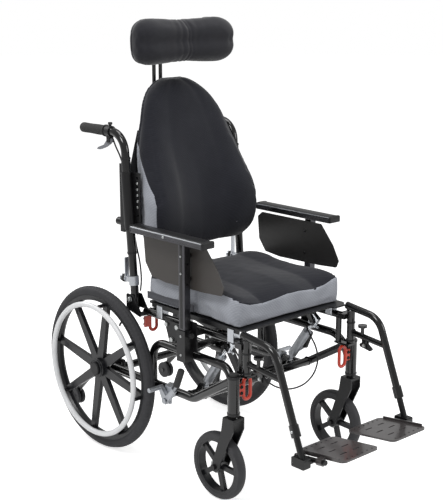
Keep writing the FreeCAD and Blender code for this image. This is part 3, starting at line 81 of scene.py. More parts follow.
def place(x: float, f: float, z: float) -> Vector:
    """A point of the side view in the frame's metres.

    Args:
        x: millimetres towards the user's left.
        f: millimetres forward of the rear axle.
        z: millimetres above the floor.

    Returns:
        The point in metres.
    """
    return Vector((x, AXLE_Y - f, z)) * MM


def along(x: float, f: float, z: float) -> Vector:
    """A unit direction given as steps to the left, forward and up."""
    return Vector((x, -f, z)).normalized()


def linear(code: str) -> tuple[float, float, float, float]:
    """Turns an sRGB hex colour into linear RGBA.

    Args:
        code: the colour as "#rrggbb".

    Returns:
        Linear red, green, blue and an alpha of one.
    """
    channels = [int(code[i:i + 2], 16) / 255.0 for i in (1, 3, 5)]
    red, green, blue = (c / 12.92 if c <= 0.04045 else ((c + 0.055) / 1.055) ** 2.4 for c in channels)
    return red, green, blue, 1.0


def add_node(tree: bpy.types.NodeTree, kind: str, settings: dict[str, Any] | None = None,
             inputs: dict[Any, Any] | None = None) -> bpy.types.Node:
    """Adds one node with its settings, input values and links.

    Args:
        tree: the node tree that gets the node.
        kind: Blender's type name of the node.
        settings: attributes to set on the node.
        inputs: a value or an output socket for each named or numbered input.

    Returns:
        The new node.
    """
    node = tree.nodes.new(kind)
    for name, value in (settings or {}).items():
        setattr(node, name, value)
    for key, value in (inputs or {}).items():
        if isinstance(value, bpy.types.NodeSocket):
            tree.links.new(value, node.inputs[key])
        else:
            node.inputs[key].default_value = value
    return node


def per_metre(size: float) -> float:
    """The noise or cell scale at which one feature is this many millimetres wide."""
    return 1.0 / (size * MM)


def wave_scale(period: float) -> float:
    """The wave texture scale at which one band repeats every so many millimetres."""
    return 2.0 * math.pi / 20.0 / (period * MM)


@dataclass(frozen=True)
class Finish:
    """What a surface is made of: a base colour with a fine tone and a relief over it.

    The tone mixes the base colour with a second one, and the relief is a bump of a real height.
    """

    name: str
    slot: str
    colour: str
    tone: str
    roughness: float
    tone_size: float = 40.0
    relief_size: float = 1.5
    relief: float = 0.05
    metallic: float = 0.0
    ior: float = 1.5
    coat: float = 0.0
    coat_roughness: float = 0.1
    sheen: float = 0.0
    specular: float = 0.5

    def material(self) -> bpy.types.Material:
        """The material of this finish, made on its first use."""
        made = bpy.data.materials.get(self.name)
        if made:
            return made
        made = bpy.data.materials.new(self.name)
        made.use_nodes = True
        tree = made.node_tree
        tree.nodes.clear()
        shader = add_node(tree, "ShaderNodeBsdfPrincipled", None, {
            "Roughness": self.roughness, "Metallic": self.metallic, "IOR": self.ior,
            "Coat Weight": self.coat, "Coat Roughness": self.coat_roughness,
            "Sheen Weight": self.sheen, "Sheen Roughness": 0.45, "Specular IOR Level": self.specular})
        space = add_node(tree, "ShaderNodeTexCoord").outputs["Object"]
        tree.links.new(self.colour_socket(tree, space), shader.inputs["Base Color"])
        height = self.height_socket(tree, space)
        bump = add_node(tree, "ShaderNodeBump", None,
                        {"Strength": 0.6, "Distance": self.relief * MM, "Height": height})
        tree.links.new(bump.outputs[0], shader.inputs["Normal"])
        self.extra(tree, space, shader)
        out = add_node(tree, "ShaderNodeOutputMaterial")
        tree.links.new(shader.outputs[0], out.inputs["Surface"])
        made.diffuse_color = linear(self.colour)
        return made

    def mixed(self, tree: bpy.types.NodeTree, factor: bpy.types.NodeSocket, low: str,
              high: str) -> bpy.types.NodeSocket:
        """Mixes two hex colours by a factor.

        Args:
            tree: the material's nodes.
            factor: the socket that drives the mix.
            low: the colour at factor zero.
            high: the colour at factor one.

        Returns:
            The mixed colour's socket.
        """
        mix = add_node(tree, "ShaderNodeMix", {"data_type": "RGBA"},
                       {0: factor, 6: linear(low), 7: linear(high)})
        return mix.outputs[2]

    def colour_socket(self, tree: bpy.types.NodeTree, space: bpy.types.NodeSocket) -> bpy.types.NodeSocket:
        """The base colour: broad soft patches of the tone over the main colour."""
        cloud = add_node(tree, "ShaderNodeTexNoise", None,
                         {"Vector": space, "Scale": per_metre(self.tone_size), "Detail": 3.0})
        return self.mixed(tree, cloud.outputs[0], self.colour, self.tone)

    def height_socket(self, tree: bpy.types.NodeTree, space: bpy.types.NodeSocket) -> bpy.types.NodeSocket:
        """The relief: an even grain of the relief's size."""
        grain = add_node(tree, "ShaderNodeTexNoise", None,
                         {"Vector": space, "Scale": per_metre(self.relief_size), "Detail": 2.0})
        return grain.outputs[0]

    def extra(self, tree: bpy.types.NodeTree, space: bpy.types.NodeSocket, shader: bpy.types.Node) -> None:
        """Adds what only this kind of finish has; the plain one has nothing more."""


@dataclass(frozen=True)
class WornEdge(Finish):
    """A painted or plated part whose exposed edges are rubbed to a lighter tone."""

    wear: str = "#3a3a3c"
    wear_width: float = 1.2

    def colour_socket(self, tree: bpy.types.NodeTree, space: bpy.types.NodeSocket) -> bpy.types.NodeSocket:
        """The base colour with a thin lighter line where an edge is rounded by use."""
        base = Finish.colour_socket(self, tree, space)
        rounded = add_node(tree, "ShaderNodeBevel", {"samples": 2}, {"Radius": self.wear_width * MM})
        true = add_node(tree, "ShaderNodeNewGeometry")
        dot = add_node(tree, "ShaderNodeVectorMath", {"operation": "DOT_PRODUCT"},
                       {0: rounded.outputs[0], 1: true.outputs["Normal"]})
        edge = add_node(tree, "ShaderNodeMapRange", None,
                        {"Value": dot.outputs["Value"], "From Min": 0.985, "From Max": 0.9,
                         "To Min": 0.0, "To Max": 0.55})
        mix = add_node(tree, "ShaderNodeMix", {"data_type": "RGBA"},
                       {0: edge.outputs[0], 6: base, 7: linear(self.wear)})
        return mix.outputs[2]


@dataclass(frozen=True)
class BrushedMetal(Finish):
    """Bare or plated metal with fine drawn lines along one axis, which stretch its highlights."""

    line_axis: int = 0

    def height_socket(self, tree: bpy.types.NodeTree, space: bpy.types.NodeSocket) -> bpy.types.NodeSocket:
        """Lines a third of a millimetre apart, drawn out along the brushing."""
        stretch = [3.0, 3.0, 3.0]
        stretch[self.line_axis] = 0.06
        scaled = add_node(tree, "ShaderNodeMapping", None, {"Vector": space, "Scale": stretch})
        lines = add_node(tree, "ShaderNodeTexNoise", None,
                         {"Vector": scaled.outputs[0], "Scale": per_metre(self.relief_size), "Detail": 3.0})
        return lines.outputs[0]


@dataclass(frozen=True)
class Knit(Finish):
    """A knitted cover: rows of loops crossed by wales, with a soft sheen over them."""

    row: float = 4.0
    wale: float = 4.0

    def weave(self, tree: bpy.types.NodeTree, space: bpy.types.NodeSocket) -> bpy.types.NodeSocket:
        """The loops' pattern, from nought between the threads to one on top of them."""
        slow = add_node(tree, "ShaderNodeTexNoise", None,
                        {"Vector": space, "Scale": per_metre(30.0), "Detail": 1.0})
        bent = add_node(tree, "ShaderNodeVectorMath", {"operation": "MULTIPLY_ADD"},
                        {0: slow.outputs[1], 1: (0.003, 0.003, 0.003), 2: space})
        rows = add_node(tree, "ShaderNodeTexWave", {"bands_direction": "Z"},
                        {"Vector": bent.outputs[0], "Scale": wave_scale(self.row), "Distortion": 0.0})
        wales = add_node(tree, "ShaderNodeTexWave", {"bands_direction": "DIAGONAL"},
                         {"Vector": bent.outputs[0], "Scale": wave_scale(self.wale), "Distortion": 0.0})
        both = add_node(tree, "ShaderNodeMath", {"operation": "MULTIPLY"},
                        {0: rows.outputs["Fac"], 1: wales.outputs["Fac"]})
        return both.outputs[0]

    def colour_socket(self, tree: bpy.types.NodeTree, space: bpy.types.NodeSocket) -> bpy.types.NodeSocket:
        """Threads painted lighter on top as painted light and darker between as painted shade, under broad
        patches of wear.
        """
        return self.mixed(tree, self.patches(tree, space), self.colour, self.tone)

    def patches(self, tree: bpy.types.NodeTree, space: bpy.types.NodeSocket) -> bpy.types.NodeSocket:
        """The weave with the cloud of handling over it."""
        cloud = add_node(tree, "ShaderNodeTexNoise", None,
                         {"Vector": space, "Scale": per_metre(self.tone_size), "Detail": 4.0})
        both = add_node(tree, "ShaderNodeMath", {"operation": "MULTIPLY_ADD"},
                        # The weave term is painted light on the thread tops and painted shade in the gaps
                        # between them.
                        {0: self.weave(tree, space), 1: 0.45, 2: cloud.outputs[0]})
        shifted = add_node(tree, "ShaderNodeMath", {"operation": "SUBTRACT", "use_clamp": True},
                           {0: both.outputs[0], 1: 0.2})
        return shifted.outputs[0]

    def height_socket(self, tree: bpy.types.NodeTree, space: bpy.types.NodeSocket) -> bpy.types.NodeSocket:
        """The loops stand up as the weave does."""
        return self.weave(tree, space)


@dataclass(frozen=True)
class Smooth(Finish):
    """A bare finish whose only pattern is its tone and a fine grain."""


# Powder-coated steel tube, baked gloss: deep black with sharp white highlights and a slight orange peel.
GLOSS_BLACK = WornEdge("powder_coat_black", "frame_black", "#060607", "#0b0b0c", 0.16, 60.0, 2.5, 0.015,
                       coat=0.35, coat_roughness=0.05, specular=0.4, wear="#2c2c2f")
# Powder-coated sheet parts: the same black, baked a little flatter, so plates look softer than tubes.
SATIN_BLACK = WornEdge("powder_coat_satin", "frame_black", "#0b0b0c", "#111113", 0.34, 35.0, 1.6, 0.03,
                       specular=0.35, wear="#38383b", wear_width=0.9)
# Moulded glass-filled nylon: dull black with a fine spark-eroded grain.
NYLON = WornEdge("moulded_nylon", "grip_rubber", "#101012", "#161618", 0.48, 25.0, 0.9, 0.05, specular=0.35,
                 wear="#333337", wear_width=0.8)
# Nylon mag wheel: moulded smoother than the brackets, so the broad spokes catch a grey sheen.
MAG_NYLON = WornEdge("moulded_wheel_nylon", "wheel_nylon", "#111114", "#18191c", 0.3, 50.0, 1.2, 0.02,
                     specular=0.4, wear="#3c3c40")
# Moulded grey nylon of the levers: a mid grey with the same grain.
GREY_NYLON = WornEdge("moulded_nylon_grey", "lever_grey", "#6e7075", "#7c7e83", 0.45, 25.0, 0.9, 0.05,
                      wear="#93959a")
# Zinc-plated steel: bright silver with a faint blue and yellow cloud from the passivation.
ZINC = BrushedMetal("zinc_plated_steel", "bright_steel", "#b9bdc2", "#a3a39c", 0.3, 12.0, 1.0, 0.02,
                    metallic=1.0, line_axis=2)
# Hard-chromed steel of the spring rods: near white, almost a mirror.
CHROME = BrushedMetal("hard_chrome", "bright_steel", "#dfe2e6", "#cfd3d8", 0.12, 30.0, 0.8, 0.008,
                      metallic=1.0, line_axis=2)
# Brushed aluminium: a softer, greyer silver with drawn lines.
ALUMINIUM = BrushedMetal("brushed_aluminium", "bright_steel", "#c3c6ca", "#adb0b5", 0.34, 25.0, 0.7, 0.02,
                         metallic=1.0, line_axis=1)
# Cast aluminium, bead-blasted: pale dull grey.
CAST_ALUMINIUM = Smooth("cast_aluminium", "bright_steel", "#b4b7bb", "#9b9ea3", 0.46, 15.0, 0.8, 0.05,
                        metallic=1.0)
# Vinyl-dipped handrim: warm white with a low gloss.
VINYL_WHITE = Smooth("vinyl_white", "handrim_white", "#e6e7e8", "#dadbdd", 0.35, 60.0, 2.0, 0.02, coat=0.3,
                     coat_roughness=0.2)
# Powder coat in signal orange for the tie-down loops.
SIGNAL_ORANGE = WornEdge("powder_coat_orange", "loop_red", "#cf3a1e", "#bf3018", 0.35, 30.0, 1.5, 0.02,
                         coat=0.3, wear="#e2684a")
# Natural grey-black tyre rubber: matt, dusty in the hollows.
TYRE = Smooth("tyre_rubber", "tyre_grey", "#29292b", "#38383b", 0.66, 22.0, 0.8, 0.06, specular=0.35)
# Solid polyurethane caster tyre: smoother and a little darker.
CASTER_TYRE = Smooth("polyurethane_tyre", "tyre_grey", "#272729", "#333336", 0.55, 25.0, 1.0, 0.03,
                     specular=0.4)
# Black thermoplastic rubber of grips and caps.
GRIP_RUBBER = Smooth("grip_rubber", "grip_rubber", "#18181a", "#222225", 0.66, 20.0, 0.8, 0.04,
                     specular=0.4)
# Stretch cover, warp-knitted black polyester: very dark with a soft grey bloom where it turns away.
STRETCH_BLACK = Knit("stretch_knit_black", "cushion_fabric", "#191a20", "#26272e", 0.9, 70.0, 3.5, 0.25,
                     sheen=0.25, specular=0.2, row=4.0, wale=5.0)
# Spacer fabric of the cushion sides: cool grey, open knit, cells drawn at 5 mm so that they show at all.
SPACER_GREY = Knit("spacer_fabric_grey", "cushion_fabric", "#8a8d94", "#aeb1b9", 0.92, 60.0, 5.0, 0.35,
                   sheen=0.2, specular=0.2, row=5.0, wale=5.0)
# Darker grey band low on the cushion sides, the same cloth in another yarn.
SPACER_DARK = Knit("spacer_fabric_dark", "cushion_fabric", "#4a4b50", "#5c5d62", 0.92, 60.0, 5.0, 0.35,
                   sheen=0.15, specular=0.2, row=5.0, wale=5.0)
# Padded headrest cover, brushed black fleece: no weave shows, only nap.
FLEECE_BLACK = Smooth("brushed_fleece_black", "cushion_fabric", "#1d1d21", "#28282d", 0.95, 18.0, 1.6, 0.3,
                      sheen=0.35, specular=0.15)
# Skirt panels, extruded ABS sheet: satin, the near one looks warm grey where the lamp rakes it. This copy
# goes on the inward faces only and is darkened near black as painted shade.
ABS_INNER_PAINTED_SHADE = WornEdge("abs_sheet_inner_painted_shade", "skirt_plastic", "#1b1a1a", "#232221", 0.42, 45.0, 1.4, 0.03,
                     wear="#3d3c3b", wear_width=1.0)
# The outward faces of the same sheet, grained, coloured a lighter warm grey as painted light for the lamp
# raking them.
ABS_OUTER_PAINTED_LIGHT = WornEdge("abs_sheet_outer_painted_light", "skirt_plastic", "#34302d", "#3c3835", 0.5, 45.0, 1.4, 0.04,
                    wear="#55504c", wear_width=1.0)
# Dark anodised aluminium extrusion: a smoky metal that still mirrors the room.
ANODISED_DARK = BrushedMetal("anodised_aluminium_dark", "bright_steel", "#5a5a5e", "#4c4b4c", 0.3, 40.0,
                             0.8, 0.01, metallic=1.0, line_axis=1)
# Self-skinned polyurethane arm pad: black skin with a fine leather grain.
SKIN_FOAM = Smooth("self_skin_foam", "armrest_vinyl", "#0d0d0f", "#151517", 0.38, 20.0, 2.2, 0.1)
# Vacuum-formed ABS shell behind the back cushion: black with a pebbled grain.
SHELL_ABS = WornEdge("formed_abs_shell", "shell_plastic", "#0e0e10", "#151517", 0.42, 45.0, 2.4, 0.1,
                     wear="#333336")
# Footplate, moulded composite: brown-grey and polished enough to mirror the room.
FOOTPLATE_GREY = WornEdge("footplate_composite", "footplate_black", "#343030", "#403c3c", 0.32, 18.0, 2.0,
                          0.04, coat=0.5, wear="#7a7878")
# Polymer sleeve of the control cables.
CABLE_BLACK = Smooth("cable_sleeve", "cable_black", "#141416", "#1c1c1e", 0.42, 20.0, 1.0, 0.02)


def new_piece(name: str, mesh: bpy.types.Mesh, finish: Finish, body: str,
              crease: float = 35.0) -> bpy.types.Object:
    """Puts a mesh into the scene as one piece of the wheelchair.

    Args:
        name: the piece's name.
        mesh: its mesh, in the frame's metres.
        finish: what its surface is made of.
        body: the body that it moves with.
        crease: edges sharper than this many degrees stay sharp.

    Returns:
        The new object.
    """
    obj = bpy.data.objects.new(name, mesh)
    mesh.materials.append(finish.material())
    bpy.context.scene.collection.objects.link(obj)
    mesh.shade_smooth()
    mesh.set_sharp_from_angle(angle=math.radians(crease))
    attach(obj, body)
    log.info("piece %s on %s: %d faces", name, body, len(mesh.polygons))
    return obj


def to_mesh(name: str, points: Sequence[Vector], faces: Sequence[Sequence[int]]) -> bpy.types.Mesh:
    """Makes a mesh with outward normals from points and faces."""
    mesh = bpy.data.meshes.new(name)
    mesh.from_pydata([tuple(p) for p in points], [], [tuple(f) for f in faces])
    form = bmesh.new()
    form.from_mesh(mesh)
    bmesh.ops.recalc_face_normals(form, faces=form.faces)
    form.to_mesh(mesh)
    form.free()
    return mesh


def basis(axis: Vector) -> tuple[Vector, Vector, Vector]:
    """Two unit directions across an axis, and the axis itself."""
    axis = axis.normalized()
    helper = UP if abs(axis.z) < 0.9 else Vector((0.0, 1.0, 0.0))
    across = axis.cross(helper).normalized()
    return across, axis.cross(across).normalized(), axis


class Form:
    """Collects rings, tubes and blocks of one piece before they become a mesh."""

    def __init__(self) -> None:
        """Starts with nothing in it."""
        self.points: list[Vector] = []
        self.faces: list[tuple[int, ...]] = []

    def rings(self, rings: Sequence[Sequence[Vector]], closed: bool = False, capped: bool = True) -> "Form":
        """Joins rings of equal length by quads.

        Args:
            rings: the rings, in order.
            closed: whether the last ring joins the first.
            capped: whether the two ends are filled.

        Returns:
            The form itself.
        """
        start = len(self.points)
        count = len(rings[0])
        for ring in rings:
            self.points.extend(ring)
        pairs = [(i, i + 1) for i in range(len(rings) - 1)]
        if closed:
            pairs.append((len(rings) - 1, 0))
        for low, high in pairs:
            for k in range(count):
                after = (k + 1) % count
                self.faces.append((start + low * count + k, start + low * count + after,
                                   start + high * count + after, start + high * count + k))
        if capped and not closed:
            self.faces.append(tuple(start + k for k in reversed(range(count))))
            self.faces.append(tuple(start + (len(rings) - 1) * count + k for k in range(count)))
        return self

    def turned(self, origin: Vector, axis: Vector, profile: Sequence[tuple[float, float]], steps: int = 24,
               closed: bool = False, phase: float = 0.0) -> "Form":
        """Revolves a profile about an axis.

        Args:
            origin: where the axis starts, in metres.
            axis: its direction.
            profile: pairs of radius and height along the axis, in millimetres.
            steps: how many points go round.
            closed: whether the profile is a closed loop, as of a ring.
            phase: degrees by which the first point is turned.

        Returns:
            The form itself.
        """
        across, over, way = basis(axis)
        rings = []
        for radius, height in profile:
            ring = []
            for k in range(steps):
                angle = 2.0 * math.pi * k / steps + math.radians(phase)
                ring.append(origin + way * height * MM
                            + (across * math.cos(angle) + over * math.sin(angle)) * max(radius, 0.01) * MM)
            rings.append(ring)
        return self.rings(rings, closed=closed)

    def swept(self, path: Sequence[Vector], radius: float | Callable[[float], float],
              steps: int = 12) -> "Form":
        """Runs a round section along a path.

        Args:
            path: points in metres.
            radius: the radius in millimetres, or a function of the share of the path that is behind.
            steps: how many points go round.

        Returns:
            The form itself.
        """
        rings = []
        across = basis(path[1] - path[0])[0]
        for i, spot in enumerate(path):
            way = (path[min(i + 1, len(path) - 1)] - path[max(i - 1, 0)]).normalized()
            across = (across - way * across.dot(way)).normalized()
            over = way.cross(across)
            size = radius(i / (len(path) - 1)) if callable(radius) else radius
            turns = [2.0 * math.pi * k / steps for k in range(steps)]
            rings.append([spot + (across * math.cos(a) + over * math.sin(a)) * size * MM for a in turns])
        return self.rings(rings)

    def slab(self, outline: Sequence[Vector], way: Vector, depth: float, bevel: float = 0.0) -> "Form":
        """Raises a flat outline into a plate with eased edges.

        Args:
            outline: the plate's corners, in metres, in order.
            way: the direction in which it is thick.
            depth: its thickness in millimetres.
            bevel: how much the edges are eased, in millimetres.

        Returns:
            The form itself.
        """
        middle = sum(outline, Vector()) / len(outline)
        way = way.normalized()
        rings = []
        levels = [(0.0, bevel), (bevel, 0.0), (depth - bevel, 0.0),
                  (depth, bevel)] if bevel else [(0.0, 0.0), (depth, 0.0)]
        for height, inset in levels:
            ring = []
            for spot in outline:
                inward = middle - spot
                ring.append(spot + way * height * MM + inward.normalized() * min(inset * MM,
                                                                                 inward.length * 0.5))
            rings.append(ring)
        return self.rings(rings)

    def block(self, low: Point, high: Point, bevel: float = 1.0) -> "Form":
        """A box between two corners given as (x, f, z), with eased edges."""
        (x0, f0, z0), (x1, f1, z1) = low, high
        outline = [place(x0, f0, z0), place(x1, f0, z0), place(x1, f1, z0), place(x0, f1, z0)]
        return self.slab(outline, UP, z1 - z0, bevel)

    def mesh(self, name: str) -> bpy.types.Mesh:
        """The mesh of all that was collected."""
        return to_mesh(name, self.points, self.faces)


class Head(Enum):
    """The kinds of fastener head on this chair."""

    HEX = "hexagon head on a washer"
    BUTTON = "button head with a socket"
    DOMED_NUT = "domed nut"
    KNURLED = "knurled hand knob"
    FLAT_PIN = "flat pin head with a rounded edge"


@dataclass(frozen=True)
class Fastener:
    """One visible fastener: where its seat is, which way it stands out, its head and its size.

    The spot is (x, f, z) in millimetres, and across is the head's width.
    """

    spot: Point
    way: Vector
    head: Head
    across: float

    def add_to(self, form: Form) -> None:
        """Adds the head's shape to a form."""
        origin = place(*self.spot)
        r = self.across / 2.0
        if self.head is Head.HEX:
            form.turned(origin, self.way, [(r * 1.32, -0.3), (r * 1.32, 1.0), (r * 1.22, 1.3)], 24)
            form.turned(origin, self.way, [(r * 1.13, 1.2), (r * 1.13, r * 0.85), (r * 0.98, r * 0.98)], 6)
        elif self.head is Head.BUTTON:
            profile = [(r, -0.3), (r, 0.4), (r * 0.92, r * 0.35), (r * 0.7, r * 0.6), (r * 0.42, r * 0.68),
                       (r * 0.4, r * 0.25), (0.0, r * 0.25)]
            form.turned(origin, self.way, profile, 20)
        elif self.head is Head.DOMED_NUT:
            form.turned(origin, self.way, [(r * 1.35, -0.3), (r * 1.35, 1.0), (r * 1.2, 1.2)], 24)
            form.turned(origin, self.way, [(r * 1.13, 1.1), (r * 1.13, r * 0.8), (r, r * 0.95)], 6)
            dome = [(r * math.cos(a), r * 0.9 + r * 0.8 * math.sin(a)) for a in (0.0, 0.4, 0.8, 1.2, 1.5)]
            form.turned(origin, self.way, dome, 20)
        elif self.head is Head.KNURLED:
            self.knurled(form, origin, r)
        else:
            form.turned(origin, self.way, [(r, -0.3), (r, 1.6), (r * 0.9, 2.2), (r * 0.5, 2.5), (0.0, 2.5)],
                        20)

    def knurled(self, form: Form, origin: Vector, r: float) -> None:
        """A hand knob with ridges round its rim.

        Args:
            form: the form that it joins.
            origin: the middle of its seat.
            r: its radius in millimetres.
        """
        across, over, way = basis(self.way)
        rings = []
        steps = 4 * RIDGES
        for height, share in ((0.0, 0.9), (r * 0.2, 1.0), (r * 0.9, 1.0), (r * 1.1, 0.9), (r * 1.15, 0.6)):
            fade = min(1.0, share * 4.0 - 3.0 if share > 0.85 else 0.0)
            ring = []
            for k in range(steps):
                angle = 2.0 * math.pi * k / steps
                ridge = 0.05 * math.cos(RIDGES * angle) * fade
                size = r * share * (1.0 + ridge)
                ring.append(origin + way * height * MM
                            + (across * math.cos(angle) + over * math.sin(angle)) * size * MM)
            rings.append(ring)
        form.rings(rings)


def fasten(name: str, fasteners: Iterable[Fastener], finish: Finish, body: str) -> bpy.types.Object:
    """Makes one piece of all the fasteners of a body that share a finish.

    Args:
        name: the piece's name.
        fasteners: what it holds.
        finish: their finish.
        body: the body that they sit on.

    Returns:
        The new object.
    """
    form = Form()
    for fastener in fasteners:
        fastener.add_to(form)
    return new_piece(name, form.mesh(name), finish, body, 30.0)


def beads(form: Form, centre: Vector, axis: Vector, radius: float, width: float = 2.4,
          steps: int = 40) -> None:
    """A weld bead round a tube: a low ring with the ripples of its passes.

    Args:
        form: the form that it joins.
        centre: the middle of the ring, in metres.
        axis: the tube's direction.
        radius: the tube's radius in millimetres.
        width: how thick the bead is.
        steps: how many ripples go round.
    """
    across, over, way = basis(axis)
    rings = []
    for k in range(steps):
        angle = 2.0 * math.pi * k / steps
        out = across * math.cos(angle) + over * math.sin(angle)
        size = width * (1.0 if k % 2 else 0.78)
        middle = centre + out * (radius + 0.2) * MM
        rings.append([middle + (out * math.cos(a) + way * math.sin(a)) * size * MM
                      for a in (math.pi / 3.0 * corner for corner in range(6))])
    form.rings(rings, closed=True)


class FrameParts:
    """Gives every carried-over node its finish."""

    def __init__(self, frame: dict[str, Any]) -> None:
        """Keeps the loaded frame."""
        self.nodes: dict[str, bpy.types.Object] = frame["nodes"]

    def bare(self, name: str, finishes: Sequence[Finish]) -> bpy.types.Mesh:
        """Takes a node's own materials away and gives it these finishes to choose from."""
        data = self.nodes[name].data
        data.materials.clear()
        for finish in finishes:
            data.materials.append(finish.material())
        return data

    def dress(self, finishes: dict[str, Finish], side: str = "") -> None:
        """Gives nodes one finish each.

        Args:
            finishes: the finish for each node's name.
            side: what ends the names, as "_left", or nothing.
        """
        for name, finish in finishes.items():
            for face in self.bare(name + side, [finish]).polygons:
                face.material_index = 0

    def dress_faces(self, name: str, finishes: Sequence[Finish],
                    choose: Callable[[Vector, Vector], int]) -> None:
        """Gives the faces of a node different finishes.

        Args:
            name: the node.
            finishes: the finishes to choose from.
            choose: picks one by number from a face's middle and normal.
        """
        for face in self.bare(name, finishes).polygons:
            face.material_index = choose(face.center, face.normal)

    def solids(self, name: str) -> list[tuple[list[int], Vector, Vector]]:
        """The separate solids of a node.

        Args:
            name: the node.

        Returns:
            For each solid its faces and the corners of its box.
        """
        data = self.nodes[name].data
        spots: dict[tuple[int, int, int], int] = {}
        alike = []
        for vertex in data.vertices:
            key = tuple(round(c / (0.02 * MM)) for c in vertex.co)
            alike.append(spots.setdefault(key, len(spots)))
        parent = list(range(len(spots)))

        def root(k: int) -> int:
            """The first member of a point's group."""
            while parent[k] != k:
                parent[k] = parent[parent[k]]
                k = parent[k]
            return k

        for face in data.polygons:
            first = root(alike[face.vertices[0]])
            for vertex in face.vertices[1:]:
                parent[root(alike[vertex])] = first
        groups: dict[int, list[int]] = {}
        for face in data.polygons:
            groups.setdefault(root(alike[face.vertices[0]]), []).append(face.index)
        found = []
        for faces in groups.values():
            spread = [data.vertices[v].co for f in faces for v in data.polygons[f].vertices]
            found.append((faces, Vector(tuple(min(p[i] for p in spread) for i in range(3))),
                          Vector(tuple(max(p[i] for p in spread) for i in range(3)))))
        return found

    def dress_solids(self, name: str, finishes: Sequence[Finish],
                     choose: Callable[[Vector, Vector], int]) -> None:
        """Gives the solids of a node different finishes.

        Args:
            name: the node.
            finishes: the finishes to choose from.
            choose: picks one by number from a solid's lowest and highest corner.
        """
        data = self.bare(name, finishes)
        for faces, low, high in self.solids(name):
            pick = choose(low, high)
            for index in faces:
                data.polygons[index].material_index = pick


def small(limit: float) -> Callable[[Vector, Vector], int]:
    """Picks finish one for solids whose box diagonal is under a limit in millimetres, else finish nought."""
    return lambda low, high: 1 if (high - low).length < limit * MM else 0


@dataclass
class SidePart:
    """What the left and the right sub-assemblies share: their side, and what it does to names and places."""

    side: str
    sign: float

    def outward(self) -> Vector:
        """The direction away from the chair's middle on this side."""
        return LEFT * self.sign

    def spot(self, x: float, f: float, z: float) -> Point:
        """A fastener's place on this side, with x measured outwards."""
        return self.sign * x, f, z

    def here(self, x: float, f: float, z: float) -> Vector:
        """A point on this side in metres, with x measured outwards."""
        return place(self.sign * x, f, z)

    def piece(self, name: str, form: Form, finish: Finish, body: str,
              crease: float = 35.0) -> bpy.types.Object:
        """Makes one piece of this side.

        Args:
            name: its name without the side.
            form: its shape.
            finish: what its surface is made of.
            body: the body that it moves with, without the side.
            crease: edges sharper than this many degrees stay sharp.

        Returns:
            The new object.
        """
        return new_piece(f"{name}_{self.side}", form.mesh(name), finish, f"{body}_{self.side}", crease)

    def fasten(self, name: str, fasteners: Iterable[Fastener], finish: Finish, body: str) -> None:
        """Makes one piece of this side's fasteners; the body is named in full."""
        fasten(f"{name}_{self.side}", fasteners, finish, body)


@dataclass
class RearWheel(SidePart):
    """A 20 inch rear wheel: blocked tyre, mag wheel with valve and hub rings, coated handrim."""

    radius: float = 260.0
    plane_x: float = 262.0
    section: float = 17.2
    groove: float = 1.5
    pitches: int = 118
    hub_outer_x: float = 281.0

    def centre(self, x: float = 0.0) -> Vector:
        """The axle's line at a distance x from the wheel's plane, in metres."""
        return self.here(self.plane_x + x, 0.0, self.radius)

    def tyre(self) -> bpy.types.Object:
        """The tyre with a ribbed tread: a centre rib, blocks on both sides and ringed walls."""
        middle = self.radius - self.section - 0.3
        around = self.pitches * 4
        angles = [-2.25, -2.0, -1.75, -1.62, -1.5, -1.25, -1.0, -0.92, -0.7, -0.48, -0.3, -0.22, -0.08, 0.08,
                  0.22,
                  0.3, 0.48, 0.7, 0.92, 1.0, 1.25, 1.5, 1.62, 1.75, 2.0, 2.25]
        rings = []
        for k in range(around):
            turn = 2.0 * math.pi * k / around
            rings.append([self.surface(turn, a, middle, self.cut(k, a)) for a in angles])
        piece = self.piece("rear_tyre_tread", Form().rings(rings, closed=True), TYRE, "rear_wheel", 50.0)
        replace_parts(piece, f"rear_tyre_{self.side}")
        return piece

    def cut(self, step: int, angle: float) -> float:
        """How deep the tread is cut at a step round the wheel and an angle round the section."""
        size = abs(angle)
        if 0.2 < size < 0.31:
            return self.groove
        if 0.45 < size < 0.95:
            phase = step + (2 if angle > 0 else 0)
            return self.groove if phase % 4 == 0 else 0.0
        if 1.45 < size < 1.65:
            return 0.6
        return 0.0

    def surface(self, turn: float, angle: float, middle: float, depth: float) -> Vector:
        """A point of the tyre's surface.

        Args:
            turn: the angle round the wheel.
            angle: the angle round the tyre's section, nought at the tread's middle.
            middle: the radius of the section's middle line.
            depth: how far the point is cut in.

        Returns:
            The point in metres.
        """
        reach = middle + (self.section - depth) * math.cos(angle)
        offset = (self.section - 0.4 * depth) * math.sin(angle)
        return self.here(self.plane_x + offset, reach * math.sin(turn), self.radius + reach * math.cos(turn))

    def valve(self) -> bpy.types.Object:
        """The valve stem with its cap, standing in from the rim."""
        turn = math.radians(33.0)
        out = Vector((0.0, -math.sin(turn), math.cos(turn)))
        foot = self.centre(1.0) + out * 216.0 * MM
        form = Form()
        form.turned(foot, -out, [(3.6, 0.0), (3.6, 4.0), (2.6, 5.0), (2.6, 16.0)], 12)
        form.turned(foot - out * 15.0 * MM, -out, [(3.4, 0.0), (3.4, 9.0), (2.6, 11.0), (0.0, 11.0)], 12)
        return self.piece("valve", form, GRIP_RUBBER, "rear_wheel")

    def hub_rings(self) -> bpy.types.Object:
        """Raised rings on the hub's outer face and a ring of ribs behind them."""
        form = Form()
        start = self.centre(self.hub_outer_x - self.plane_x - 1.0)
        for outer, inner, height in ((29.5, 26.5, 2.4), (24.8, 22.4, 1.8)):
            form.turned(start, self.outward(), [(outer, 0.0), (outer, height), (inner, height), (inner, 0.0)],
                        40, closed=True)
        return self.piece("hub_rings", form, MAG_NYLON, "rear_wheel")

    def build(self, parts: FrameParts) -> None:
        """Builds the wheel's pieces and dresses its nodes."""
        self.tyre()
        self.valve()
        self.hub_rings()
        parts.dress({"rear_wheel": MAG_NYLON, "handrim": VINYL_WHITE}, f"_{self.side}")


